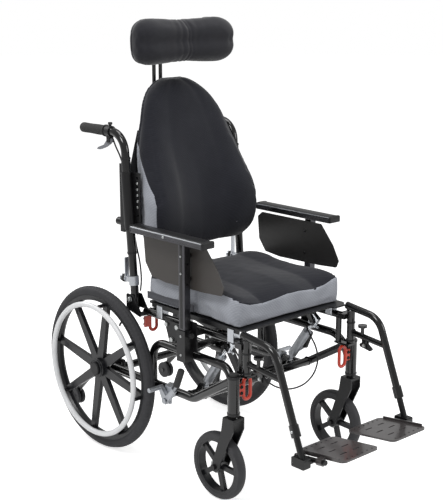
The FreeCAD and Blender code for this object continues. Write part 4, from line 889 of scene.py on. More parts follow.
@dataclass
class Caster(SidePart):
    """An 8 inch caster: polyurethane tyre on a five-spoke wheel in a plate fork."""

    stem_x: float = 247.0
    stem_f: float = 595.0
    axle_f: float = 537.0
    radius: float = 100.0
    hub_reach: float = 17.0
    tyre_reach: float = 15.0
    fork_top_z: float = 262.0
    rivet_reach: float = 12.5
    cap_low_z: float = 370.0
    bolt_height: float = 30.0

    def hub_caps(self) -> bpy.types.Object:
        """Bearing shields and raised rings on both faces of the hub."""
        form = Form()
        for way in (1.0, -1.0):
            out = LEFT * way
            start = place(self.sign * self.stem_x + way * (self.hub_reach - 0.6), self.axle_f, self.radius)
            profile = [(18.0, 0.0), (18.0, 1.4), (15.4, 1.4), (15.0, 0.8), (9.0, 0.8), (9.0, 0.0)]
            form.turned(start, out, profile, 36, closed=True)
        return self.piece("caster_bearings", form, ZINC, "caster_wheel")

    def rim_lines(self) -> bpy.types.Object:
        """The rings where the tyre meets the rim, on both faces."""
        form = Form()
        for way in (1.0, -1.0):
            out = LEFT * way
            start = place(self.sign * self.stem_x + way * (self.tyre_reach - 1.6), self.axle_f, self.radius)
            form.turned(start, out, [(83.5, 0.0), (83.5, 1.2), (81.0, 1.8), (78.6, 1.2), (78.6, 0.0)], 72,
                        closed=True)
        return self.piece("caster_rim_lines", form, MAG_NYLON, "caster_wheel")

    def build(self, parts: FrameParts) -> None:
        """Builds the caster's pieces and dresses its nodes."""
        self.hub_caps()
        self.rim_lines()
        parts.dress({"caster_wheel": MAG_NYLON, "caster_tyre": CASTER_TYRE}, f"_{self.side}")
        parts.dress_solids(f"caster_fork_{self.side}", [SATIN_BLACK, ZINC, GRIP_RUBBER], self.fork_choice)
        rivets = [Fastener(self.spot(self.stem_x, self.stem_f + step, self.fork_top_z - 0.3), UP,
                           Head.FLAT_PIN, 5.0) for step in (self.rivet_reach, -self.rivet_reach)]
        self.fasten("fork_rivets", rivets, ZINC, f"caster_fork_{self.side}")

    def fork_choice(self, low: Vector, high: Vector) -> int:
        """Fork nought, axle bolt one, stem cap two."""
        if low.z > self.cap_low_z * MM:
            return 2
        return 1 if high.z - low.z < self.bolt_height * MM else 0


def table_value(table: Sequence[tuple[float, float]], at: float) -> float:
    """Reads a curve given by points, straight between them and level beyond its ends.

    Args:
        table: pairs of place and value, with rising places.
        at: where it is read.

    Returns:
        The value there.
    """
    if at <= table[0][0]:
        return table[0][1]
    for (a, low), (b, high) in zip(table, table[1:]):
        if at <= b:
            return low + (high - low) * (at - a) / (b - a)
    return table[-1][1]


@dataclass
class SoftPart:
    """A stuffed piece that stands for a soft node: the node's form, remeshed, swollen as cloth and sewn.

    The support is the direction towards what it rests on; nothing swells that way.
    """

    name: str
    node: str
    body: str
    fill: float
    voxel: float = 5.0
    shrink: float = 3.0
    pressure: float = 4.0
    cap: float = 6.0
    frames: int = 18
    rounds: int = 6
    support: Vector = field(default_factory=lambda: Vector((0.0, 0.0, -1.0)))

    def own_form(self) -> bpy.types.Object:
        """A remeshed copy of the node, a little smaller than it so that it can swell."""
        data = bpy.data.objects[self.node].data.copy()
        obj = bpy.data.objects.new(self.name, data)
        bpy.context.scene.collection.objects.link(obj)
        remesh = obj.modifiers.new("even", "REMESH")
        remesh.mode = "VOXEL"
        remesh.voxel_size = self.voxel * MM
        smooth = obj.modifiers.new("soft", "SMOOTH")
        smooth.factor = 0.5
        smooth.iterations = self.rounds
        self.bake(obj)
        self.push(obj, -self.shrink)
        return obj

    def push(self, obj: bpy.types.Object, amount: float) -> None:
        """Moves the skin out along its normals by millimetres, except where it rests on something."""
        for vertex, normal in zip(obj.data.vertices, [v.normal.copy() for v in obj.data.vertices]):
            if normal.dot(self.support) < 0.5:
                vertex.co += normal * amount * MM

    def bake(self, obj: bpy.types.Object) -> None:
        """Applies all modifiers of an object to its mesh."""
        graph = bpy.context.evaluated_depsgraph_get()
        graph.update()
        made = bpy.data.meshes.new_from_object(obj.evaluated_get(graph))
        obj.modifiers.clear()
        obj.data = made

    def swell(self, obj: bpy.types.Object) -> None:
        """Blows the cover up as cloth for a few frames, each point moving no further than the cap."""
        rest = [v.co.copy() for v in obj.data.vertices]
        cloth = obj.modifiers.new("swell", "CLOTH")
        cloth.settings.use_pressure = True
        cloth.settings.uniform_pressure_force = self.pressure
        cloth.settings.effector_weights.gravity = 0.0
        cloth.settings.quality = 4
        cloth.point_cache.frame_start = 1
        cloth.point_cache.frame_end = self.frames
        scene = bpy.context.scene
        for frame in range(1, self.frames + 1):
            scene.frame_set(frame)
        graph = bpy.context.evaluated_depsgraph_get()
        blown = [v.co.copy() for v in obj.evaluated_get(graph).data.vertices]
        obj.modifiers.remove(cloth)
        scene.frame_set(1)
        for vertex, before, after in zip(obj.data.vertices, rest, blown):
            step = after - before
            if step.length > self.cap * MM:
                step *= self.cap * MM / step.length
            down = step.dot(self.support)
            if down > 0.0:
                step -= self.support * down
            vertex.co = before + step

    def refine(self, obj: bpy.types.Object) -> None:
        """One subdivision, so that the seams have vertices to follow."""
        finer = obj.modifiers.new("finer", "SUBSURF")
        finer.levels = finer.render_levels = 1
        self.bake(obj)

    def creases(self, obj: bpy.types.Object, depth: Callable[[Vector, Vector], float]) -> None:
        """Moves each point in by a depth in millimetres that depends on its place and normal."""
        moved = [(v, v.normal.copy(), depth(v.co, v.normal)) for v in obj.data.vertices]
        for vertex, normal, size in moved:
            vertex.co -= normal * size * MM

    def sew(self, obj: bpy.types.Object, finishes: Sequence[Finish], panel: Callable[[Vector, Vector], int],
            snap: Callable[[Vector], Vector], sink: float = 1.6) -> None:
        """Gives the panels their cloth and draws the seam between them in.

        Args:
            obj: the piece.
            finishes: one for each panel.
            panel: the panel's number from a face's middle and normal.
            snap: moves a point of the border onto the seam's line.
            sink: how far the seam is drawn in, in millimetres.
        """
        data = obj.data
        data.materials.clear()
        for finish in finishes:
            data.materials.append(finish.material())
        touching: dict[int, set[int]] = {}
        for face in data.polygons:
            face.material_index = panel(face.center, face.normal)
            for vertex in face.vertices:
                touching.setdefault(vertex, set()).add(face.material_index)
        normals = [v.normal.copy() for v in data.vertices]
        for index, panels in touching.items():
            if len(panels) > 1:
                data.vertices[index].co = snap(data.vertices[index].co) - normals[index] * sink * MM
        data.shade_smooth()

    def finish_piece(self, obj: bpy.types.Object, finish: Finish) -> None:
        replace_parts(obj, self.node)
        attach(obj, self.body)
        log.info("soft piece %s: %d faces", obj.name, len(obj.data.polygons))


@dataclass
class SeatCushion(SoftPart):
    """The contoured seat cushion: grey spacer sides under a black stretch top with a waved seam."""

    front_f: float = 579.0
    half: float = 215.0
    front_seam: tuple[tuple[float, float], ...] = (
        (-213.0, 583.0), (-160.0, 564.0), (-104.0, 560.0), (-60.0, 563.0), (-10.0, 569.0), (40.0, 568.0),
        (100.0, 562.0), (145.0, 566.0), (180.0, 576.0), (213.0, 588.0))
    side_seam: tuple[tuple[float, float], ...] = (
        (172.0, 572.0), (230.0, 583.0), (380.0, 589.0), (520.0, 590.0), (579.0, 585.0))
    corner: float = 26.0
    corner_x: float = 14.0
    cover_slope: float = 0.7
    snap_reach: float = 4.0
    band_low: float = 515.0
    band_high: float = 537.0
    band_rear_f: float = 182.0
    band_front_f: float = 392.0
    stitch: float = 1.6

    def seam_z(self, spot: Vector) -> float:
        """The height of the seam at a point of the side wall, in millimetres."""
        x, f = spot.x / MM, AXLE_Y - spot.y / MM
        if f <= self.front_f - self.corner:
            return table_value(self.side_seam, f)
        if abs(x) < self.half - self.corner_x:
            return table_value(self.front_seam, x)
        return table_value(self.side_seam, f) * 0.5 + table_value(self.front_seam, x) * 0.5

    def panel(self, spot: Vector, normal: Vector) -> int:
        """Black cover nought, grey side one; what looks up is always the cover."""
        return 0 if normal.z > self.cover_slope or spot.z / MM > self.seam_z(spot) else 1

    def snap(self, spot: Vector) -> Vector:
        """The point at its own place along the wall, moved up or down onto the seam if it is near it."""
        target = self.seam_z(spot) * MM
        near = abs(target - spot.z) < self.snap_reach * MM
        return Vector((spot.x, spot.y, target)) if near else spot.copy()

    def folds(self, spot: Vector, normal: Vector) -> float:
        """Faint hollows of the cover where it is drawn over the foam."""
        wide = noise.noise(spot * 14.0) * 1.1
        fine = noise.noise(Vector((spot.x * 30.0, spot.y * 55.0, spot.z * 55.0))) * 0.5
        return wide + fine

    def band(self) -> bpy.types.Object:
        """The darker sewn band low on each side wall, with two lines of stitching."""
        form = Form()
        upper, lower = self.band_high - 3.0, self.band_low + 3.0
        strips = ((self.band_low, self.band_high, 2.4), (upper - self.stitch, upper, 3.1),
                  (lower, lower + self.stitch, 3.1))
        for sign in (-1.0, 1.0):
            for low, high, depth in strips:
                corners = ((self.band_rear_f, low), (self.band_front_f, low), (self.band_front_f, high),
                           (self.band_rear_f, high))
                outline = [place(sign * (self.half - 1.8), f, z) for f, z in corners]
                form.slab(outline, LEFT * sign, depth, 0.5)
        return new_piece("seat_side_bands", form.mesh("bands"), SPACER_DARK, self.body)

    def build(self) -> None:
        """Builds the cushion and its bands."""
        obj = self.own_form()
        self.swell(obj)
        self.refine(obj)
        self.creases(obj, self.folds)
        self.sew(obj, [STRETCH_BLACK, SPACER_GREY], self.panel, self.snap)
        self.finish_piece(obj, SPACER_GREY)
        self.band()


@dataclass
class BackCushion(SoftPart):
    """The winged back cushion: black stretch front, grey spacer flanks up to shoulder height."""

    seam: tuple[tuple[float, float], ...] = (
        (690.0, 222.0), (728.0, 215.0), (797.0, 215.0), (830.0, 202.0), (860.0, 176.0), (895.0, 148.0),
        (930.0, 118.0), (965.0, 98.0), (1002.0, 74.0))
    grey_top_z: float = 1002.0
    grey_low_z: float = 702.0
    flank_x: float = 120.0
    crown_low_z: float = 930.0
    crown_height: float = 190.0
    crown_sink: float = 8.0
    flank_slope: float = 0.25
    snap_reach: float = 4.0

    def settle(self, obj: bpy.types.Object) -> None:
        """Lets the crown sink a little, as the foam does in its cover."""
        for vertex in obj.data.vertices:
            share = min(max((vertex.co.z / MM - self.crown_low_z) / self.crown_height, 0.0), 1.0)
            vertex.co.z -= self.crown_sink * share * share * (3.0 - 2.0 * share) * MM

    def seam_f(self, spot: Vector) -> float:
        """How far forward the grey flank reaches at a point's height."""
        return table_value(self.seam, spot.z / MM)

    def panel(self, spot: Vector, normal: Vector) -> int:
        """Black cover nought, grey flank one."""
        f, z = AXLE_Y - spot.y / MM, spot.z / MM
        grey = abs(spot.x / MM) > self.flank_x and self.grey_low_z < z < self.grey_top_z
        return 1 if grey and f < self.seam_f(spot) and abs(normal.x) > self.flank_slope else 0

    def snap(self, spot: Vector) -> Vector:
        """The point moved onto the seam's line if it is near it."""
        target = (AXLE_Y - self.seam_f(spot)) * MM
        near = abs(target - spot.y) < self.snap_reach * MM
        return Vector((spot.x, target, spot.z)) if near else spot.copy()

    def folds(self, spot: Vector, normal: Vector) -> float:
        """Long shallow pulls in the cover from the wings to the shoulders."""
        pull = noise.noise(Vector((spot.x * 26.0, spot.y * 10.0, spot.z * 5.0))) * 1.2
        return pull + noise.noise(spot * 18.0) * 0.7

    def build(self) -> None:
        """Builds the cushion."""
        obj = self.own_form()
        self.swell(obj)
        self.settle(obj)
        self.refine(obj)
        self.creases(obj, self.folds)
        self.sew(obj, [STRETCH_BLACK, SPACER_GREY], self.panel, self.snap)
        self.finish_piece(obj, STRETCH_BLACK)


@dataclass
class HeadrestPad(SoftPart):
    """The headrest pad: two lobes in one sleeve that is gathered in upright creases at the middle."""

    middle_z: float = 1268.0
    crease_lines: tuple[tuple[float, float, float], ...] = (
        (-46.0, 0.7, 10.0), (-21.0, 1.3, 7.0), (-4.0, 1.8, 5.0), (9.0, 1.5, 6.0), (31.0, 0.6, 10.0))

    def folds(self, spot: Vector, normal: Vector) -> float:
        """The gathered creases, deepest half way up, and soft unevenness elsewhere."""
        x, z = spot.x / MM, spot.z / MM
        depth = 0.0
        for line, deep, wide in self.crease_lines:
            sway = 5.0 * math.sin((z - self.middle_z) / 40.0 + line)
            depth += deep * math.exp(-((x - line - sway) / wide) ** 2)
        return depth + noise.noise(spot * 20.0) * 0.9

    def build(self) -> None:
        """Builds the pad."""
        obj = self.own_form()
        self.swell(obj)
        self.refine(obj)
        self.creases(obj, self.folds)
        obj.data.materials.clear()
        obj.data.materials.append(FLEECE_BLACK.material())
        obj.data.shade_smooth()
        self.finish_piece(obj, FLEECE_BLACK)


def even_outline(half: float, low: float, ease: float, flank: Sequence[tuple[float, float]],
                 crown: Sequence[tuple[float, float]] = ()) -> list[tuple[float, float]]:
    """The outline of a bar that is the same on both sides.

    Args:
        half: half its width.
        low: the height of its underside.
        ease: how much its lower edges are eased.
        flank: the points up its one side, as (across, height).
        crown: the points over its middle.

    Returns:
        All points round it.
    """
    foot = [(-half, low + ease), (ease - half, low), (half - ease, low), (half, low + ease)]
    return [*foot, *flank, *crown, *((-x, z) for x, z in reversed(flank))]


@dataclass
class Armrest(SidePart):
    """One armrest: padded bar on a dark extrusion, channel post, skirt panel and receiver."""

    x: float = 259.0
    width: float = 46.0
    low_z: float = 728.0
    high_z: float = 750.0
    rear_f: float = 183.0
    front_f: float = 507.0
    post_f: float = 404.0
    post_half: float = 12.5
    socket_top_z: float = 475.0
    socket_half: float = 18.0
    button_rows: tuple[float, float] = (692.0, 642.0)
    receiver_rows: tuple[float, float] = (458.0, 402.0)
    rail_bolt_f: float = 339.0
    rail_bolt_z: float = 738.6
    skirt_inner_x: float = 234.5
    skirt_rows: tuple[float, float] = (622.0, 690.0)
    cap_length: float = 6.0

    def section(self, f: float, grow: float, top: float, low: float, crown: float) -> list[Vector]:
        """One cross-section of the arm pad.

        Args:
            f: where along the arm it is.
            grow: how much wider than the pad it is, on each side.
            top: the height of its upper edges.
            low: the height of its underside.
            crown: how much its middle stands above the edges.

        Returns:
            The points round it.
        """
        half = self.width / 2.0 + grow
        flank = [(half, top - 3.0), (half - 1.0, top - 1.0), (half - 4.0, top + 0.2 * crown),
                 (half * 0.5, top + 0.8 * crown)]
        outline = even_outline(half, low, 2.0, flank, [(0.0, top + crown)])
        return [place(self.sign * self.x + across, f, z) for across, z in outline]

    def replacing(self, piece: bpy.types.Object) -> bpy.types.Object:
        """Lets a piece stand for the pad's solid."""
        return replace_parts(piece, f"armrest_pad_{self.side}")

    def pad(self) -> bpy.types.Object:
        """The foam bar with its crowned top and drawn-in ends."""
        stations = [(self.rear_f + 5.0, -5.0), (self.rear_f + 6.5, -2.5), (self.rear_f + 10.0, -1.2),
                    (self.rear_f + 60.0, -1.0), (self.front_f - 60.0, -1.0), (self.front_f - 10.0, -1.2),
                    (self.front_f - 6.5, -2.5), (self.front_f - 5.0, -5.0)]
        rings = [self.section(f, grow, self.high_z - 3.0, self.low_z + 11.0, 2.8) for f, grow in stations]
        piece = self.piece("arm_pad_top", Form().rings(rings), SKIN_FOAM, "armrest", 40.0)
        self.replacing(piece)
        return piece

    def rail(self) -> bpy.types.Object:
        """The dark anodised extrusion under the pad, with a groove along each flank."""
        half = self.width / 2.0
        low = self.low_z
        flank = [(half, low + 5.0), (half - 0.8, low + 5.6), (half - 0.8, low + 7.2), (half, low + 7.8),
                 (half, low + 14.6), (half - 0.8, low + 15.6), (half - 3.0, low + 15.6)]
        outline = even_outline(half, low, 1.0, flank)
        rings = [[place(self.sign * self.x + across, f, z) for across,
                  z in outline] for f in self.rail_ends()]
        return self.replacing(self.piece("arm_rail", Form().rings(rings), ANODISED_DARK, "armrest", 20.0))

    def rail_ends(self) -> tuple[float, float]:
        """Where the extrusion starts and ends."""
        return self.rear_f + self.cap_length, self.front_f - self.cap_length

    def edges(self) -> bpy.types.Object:
        """Bright rounded edges of the extrusion beside the pad."""
        form = Form()
        for way in (-1.0, 1.0):
            x = self.sign * self.x + way * (self.width / 2.0 - 0.9)
            form.swept([place(x, f, self.low_z + 16.6) for f in self.rail_ends()], 1.5, 10)
        return self.piece("arm_edges", form, ALUMINIUM, "armrest")

    def end_caps(self) -> bpy.types.Object:
        """Moulded caps with rounded corners on both ends."""
        form = Form()
        for start, way in ((self.rear_f + 6.5, -1.0), (self.front_f - 6.5, 1.0)):
            rings = []
            for step, inset in ((0.0, 0.0), (3.6, 0.0), (5.6, 1.2), (6.5, 3.6)):
                rings.append(self.section(start + way * step, 0.3 - inset, self.high_z - 1.6 - inset,
                                          self.low_z + 0.2 + inset * 0.6, 1.4))
            form.rings(rings)
        return self.piece("arm_end_caps", form, NYLON, "armrest", 40.0)

    def post_trim(self) -> None:
        """The post's groove, drawn as a thin black strip of painted shade on its outer face, its buttons, and
        the bolts of rail and receiver.
        """
        out = self.outward()
        face = self.x + self.post_half
        form = Form()
        # A raised black strip stands where the groove is: its darkness is painted shade in place of the
        # groove's depth.
        form.block(self.spot(face, self.post_f - 4.5, self.socket_top_z + 6.0),
                   self.spot(face + 0.7, self.post_f + 4.5, self.low_z - 3.0), 0.2)
        self.piece("post_slot", form, GRIP_RUBBER, "armrest")
        buttons = [Fastener(self.spot(face + 0.6, self.post_f, z), out, Head.FLAT_PIN, 6.5)
                   for z in self.button_rows]
        buttons.append(Fastener(self.spot(self.x + self.width / 2.0, self.rail_bolt_f, self.rail_bolt_z), out,
                                Head.BUTTON, 9.0))
        self.fasten("post_buttons", buttons, ZINC, f"armrest_{self.side}")
        wall = self.x + self.socket_half - 2.2
        bolts = [Fastener(self.spot(wall, self.post_f, z), out, Head.BUTTON, 8.0) for z in self.receiver_rows]
        self.fasten("receiver_bolts", bolts, ZINC, "seat")

    def skirt_bolts(self) -> None:
        """Low screws that hold the skirt panel to the post's spacers."""
        screws = [Fastener(self.spot(self.skirt_inner_x, self.post_f, z), -self.outward(), Head.BUTTON, 9.0)
                  for z in self.skirt_rows]
        self.fasten("skirt_screws", screws, SATIN_BLACK, f"armrest_{self.side}")

    def build(self, parts: FrameParts) -> None:
        """Builds the armrest's pieces and dresses its nodes."""
        self.pad()
        self.rail()
        self.edges()
        self.end_caps()
        self.post_trim()
        self.skirt_bolts()
        parts.dress({"armrest_post": ANODISED_DARK}, f"_{self.side}")
        # One skirt sheet gets two colours by which way a face looks: the lighter outward faces are painted
        # light, the darker inward faces painted shade.
        parts.dress_faces(f"skirt_panel_{self.side}", [ABS_INNER_PAINTED_SHADE, ABS_OUTER_PAINTED_LIGHT],
                          lambda spot, normal: 1 if normal.x * self.sign > 0.5 else 0)


@dataclass
class LegRest(SidePart):
    """One swing-away leg rest: bent hanger with strut, latch, extension and footplate."""

    x: float = 217.0
    post_f: float = 616.0
    post_low_z: float = 384.0
    top_z: float = 496.0
    tube: float = 11.0
    post_radius: float = 12.0
    strut_z: float = 417.0
    knee_f: float = 734.0
    knee_z: float = 482.0
    foot_f: float = 808.0
    foot_z: float = 260.0
    latch_reach: float = 58.0
    latch_z: float = 389.0
    plate_f: float = 836.0
    plate_z: float = 196.0
    plate_rise: float = 11.0
    plate_inner_x: float = 30.0
    slope: float = 7.0
    stud_rows: tuple[float, float] = (-52.0, 96.0)
    stud_count: int = 6
    stud_margin: float = 20.0
    stud_pitch: float = 20.0

    def caps(self) -> None:
        """The moulded plug in the hanger's open end and the bushes on its post."""
        form = Form()
        rim = self.tube + 0.5
        profile = [(self.tube - 0.6, -2.0), (rim, 0.0), (rim, 2.4), (self.tube - 1.8, 4.2), (0.0, 4.6)]
        form.turned(self.here(self.x, self.post_f - 14.0, self.top_z), along(0.0, -1.0, 0.06), profile, 28)
        self.piece("hanger_plug", form, GRIP_RUBBER, "hanger")
        rings = Form()
        root, crest = self.post_radius - 1.0, self.post_radius + 1.6
        for rise in (4.0, 60.0):
            rings.turned(self.here(self.x, self.post_f, self.post_low_z + rise), UP,
                         [(root, 0.0), (crest, 0.6), (crest, 5.0), (root, 5.6)], 32, closed=True)
        self.piece("pivot_bushes", rings, NYLON, "hanger")

    def welds(self) -> bpy.types.Object:
        """Painted weld beads where the strut meets post and tube, and the post meets the top tube."""
        form = Form()
        centre = self.here(self.x, self.post_f + self.post_radius - 1.0, self.strut_z)
        beads(form, centre, along(0.0, 1.0, -0.1), 9.0)
        beads(form, self.here(self.x, self.post_f, self.top_z - self.tube + 0.5), UP, self.post_radius)
        return self.piece("hanger_welds", form, GLOSS_BLACK, "hanger")

    def fasteners(self) -> None:
        """The silver height button and clamp screw at the hanger's foot."""
        out = self.outward()
        knee = along(0.0, self.foot_f - self.knee_f, self.foot_z - self.knee_z)
        spot = self.here(self.x + 13.6, self.foot_f, self.foot_z) - knee * 17.0 * MM
        form = Form()
        form.turned(spot, out, [(4.2, -0.6), (4.2, 1.2), (3.2, 2.2), (0.0, 2.4)], 20)
        self.piece("height_button", form, ZINC, "hanger")
        latch_f = self.post_f + self.latch_reach
        latch = [Fastener(self.spot(self.x + 7.4, latch_f, self.latch_z), out, Head.HEX, 8.0),
                 Fastener(self.spot(self.x - 7.4, latch_f, self.latch_z), -out, Head.DOMED_NUT, 8.0)]
        self.fasten("latch_bolt", latch, ZINC, f"hanger_{self.side}")

    def studs(self) -> bpy.types.Object:
        """Two rows of low moulded studs on the footplate's top, behind and before its slots."""
        form = Form()
        lean = math.radians(self.slope)
        normal = along(0.0, -math.sin(lean), math.cos(lean))
        profile = [(2.6, -0.4), (2.6, 0.3), (1.7, 0.9), (0.0, 1.1)]
        for reach in self.stud_rows:
            f = self.plate_f + reach * math.cos(lean) - self.plate_rise * math.sin(lean)
            z = self.plate_z + reach * math.sin(lean) + self.plate_rise * math.cos(lean)
            for k in range(self.stud_count):
                x = self.plate_inner_x + self.stud_margin + k * self.stud_pitch
                form.turned(self.here(x, f, z), normal, profile, 14)
        return self.piece("footplate_studs", form, NYLON, "footplate")

    def build(self, parts: FrameParts) -> None:
        """Builds the leg rest's pieces and dresses its nodes."""
        self.caps()
        self.welds()
        self.fasteners()
        self.studs()
        parts.dress({"hanger": GLOSS_BLACK, "hanger_latch": NYLON, "foot_extension": SATIN_BLACK,
                     "footplate": FOOTPLATE_GREY}, f"_{self.side}")


@dataclass
class BackFrame:
    """The canes with their grips, straps, brackets and triggers, the shell and the headrest's metal."""

    cane_x: float = 222.0
    handle_z: float = 1004.0
    grip_rear_f: float = -112.0
    grip_front_f: float = 6.0
    grip_radius: float = 15.5
    pivot_f: float = 131.0
    pivot_z: float = 505.0
    lean: float = 4.6
    bracket_low_z: float = 715.0
    bracket_high_z: float = 890.0
    strap_z: float = 560.0
    clamp_z: float = 738.0
    grip_ribs: int = 15
    rib_pitch: float = 6.2
    screw_count: int = 5
    screw_pitch: float = 18.0
    collar_rows: tuple[float, float] = (926.0, 642.0)
    rib_rows: tuple[float, ...] = (-150.0, -90.0, 90.0, 150.0)

    def cane_f(self, z: float) -> float:
        """How far forward the canes' middle line lies at a height."""
        return self.pivot_f - (z - self.pivot_z) * math.tan(math.radians(self.lean))

    def grip_profile(self) -> list[tuple[float, float]]:
        """The grip's radius along its length: a flange, fifteen ribs and a rounded butt."""
        r = self.grip_radius
        length = self.grip_front_f - self.grip_rear_f + 3.0
        profile = [(r + 2.8, 0.2), (r + 3.0, 2.0), (r + 2.6, 5.0), (r, 8.0)]
        for rib in range(self.grip_ribs):
            start = 10.0 + rib * self.rib_pitch
            swell = 0.4 * math.sin(rib / (self.grip_ribs - 1.0) * math.pi * 2.0)
            root, crest = r - 1.2 + swell, r - 0.1 + swell
            profile += [(root, start), (crest, start + 1.2), (crest, start + 3.8), (root, start + 5.0)]
        return profile + [(r, length - 14.0), (r - 0.2, length - 5.0), (r - 2.0, length - 1.6),
                          (r - 6.0, length - 0.2), (0.0, length - 0.2)]

    def grips(self) -> None:
        """Ribbed rubber grips on both canes."""
        form = Form()
        for _, sign in SIDES:
            form.turned(place(sign * self.cane_x, self.grip_front_f, self.handle_z), along(0.0, -1.0, 0.0),
                        self.grip_profile(), 32)
        piece = new_piece("push_grips_ribbed", form.mesh("grips"), GRIP_RUBBER, "back", 30.0)
        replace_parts(piece, "push_grips")

    def knobs(self) -> None:
        """Knurled knobs of the release straps, the trigger's stud knob and the bracket's clamp knobs."""
        straps = [Fastener((sign * self.cane_x, self.cane_f(self.strap_z) - 36.0, self.strap_z),
                           along(0.0, -1.0, 0.0), Head.KNURLED, 25.0) for _, sign in SIDES]
        fasten("strap_knobs", straps, GRIP_RUBBER, "back")
        studs = [Fastener((sign * self.cane_x, self.grip_front_f + 19.0, self.handle_z + 20.0), UP,
                          Head.KNURLED, 13.0) for _, sign in SIDES]
        fasten("stud_knobs", studs, GRIP_RUBBER, "back")
        clamps = [Fastener((sign * self.cane_x, self.cane_f(self.clamp_z) - 26.0, self.clamp_z),
                           along(0.0, -1.0, 0.0), Head.DOMED_NUT, 17.0) for _, sign in SIDES]
        fasten("bracket_knobs", clamps, ALUMINIUM, "back")

    def bracket_bolts(self) -> None:
        """The row of silver screws down each bracket's outer plate and the cane's pivot bolts."""
        f = self.cane_f((self.bracket_low_z + self.bracket_high_z) / 2.0) + 32.0
        heights = [self.bracket_high_z - 32.0 - self.screw_pitch * k for k in range(self.screw_count)]
        rows = [Fastener((sign * (self.cane_x - 9.2), f, z), LEFT * sign, Head.FLAT_PIN, 8.5)
                for _, sign in SIDES for z in heights]
        fasten("bracket_screws", rows, ZINC, "back")
        pivots = [Fastener((sign * (self.cane_x + 19.5), self.pivot_f, self.pivot_z), LEFT * sign,
                           Head.HEX, 13.0) for _, sign in SIDES]
        fasten("back_pivot_bolts", pivots, ZINC, "seat")

    def collars(self) -> bpy.types.Object:
        """The moulded collars at the upper and lower end of each cane's outer sleeve."""
        form = Form()
        for _, sign in SIDES:
            for z in self.collar_rows:
                way = along(0.0, -math.tan(math.radians(self.lean)), 1.0)
                form.turned(place(sign * self.cane_x, self.cane_f(z), z), way,
                            [(13.4, 0.0), (15.0, 0.6), (15.0, 6.4), (13.4, 7.0)], 32, closed=True)
        return new_piece("cane_collars", form.mesh("collars"), NYLON, "back")

    def shell_ribs(self) -> bpy.types.Object:
        """Upright stiffening ribs moulded on the shell's rear face."""
        form = Form()
        for x in self.rib_rows:
            low, high = place(x, 123.9, 716.0), place(x, 84.0, 990.0)
            form.swept([low, low.lerp(high, 0.02), low.lerp(high, 0.98), high], 3.2, 8)
        return new_piece("shell_ribs", form.mesh("ribs"), SHELL_ABS, "back")

    def build(self, parts: FrameParts) -> None:
        """Builds the back's pieces and dresses its nodes."""
        self.grips()
        self.knobs()
        self.bracket_bolts()
        self.collars()
        self.shell_ribs()
        parts.dress_solids("back_canes", [GLOSS_BLACK, NYLON, SATIN_BLACK], self.cane_choice)
        parts.dress({"release_straps": ALUMINIUM, "back_shell": SHELL_ABS, "headrest_bracket": NYLON,
                     "headrest_posts": GLOSS_BLACK, "headrest_mount": SATIN_BLACK, "trigger_left": GREY_NYLON,
                     "trigger_right": GREY_NYLON})

    def cane_choice(self, low: Vector, high: Vector) -> int:
        """Canes nought, trigger mounts one, shell brackets two."""
        tall = (high.z - low.z) / MM
        return 0 if tall > 300.0 else (1 if tall < 90.0 else 2)


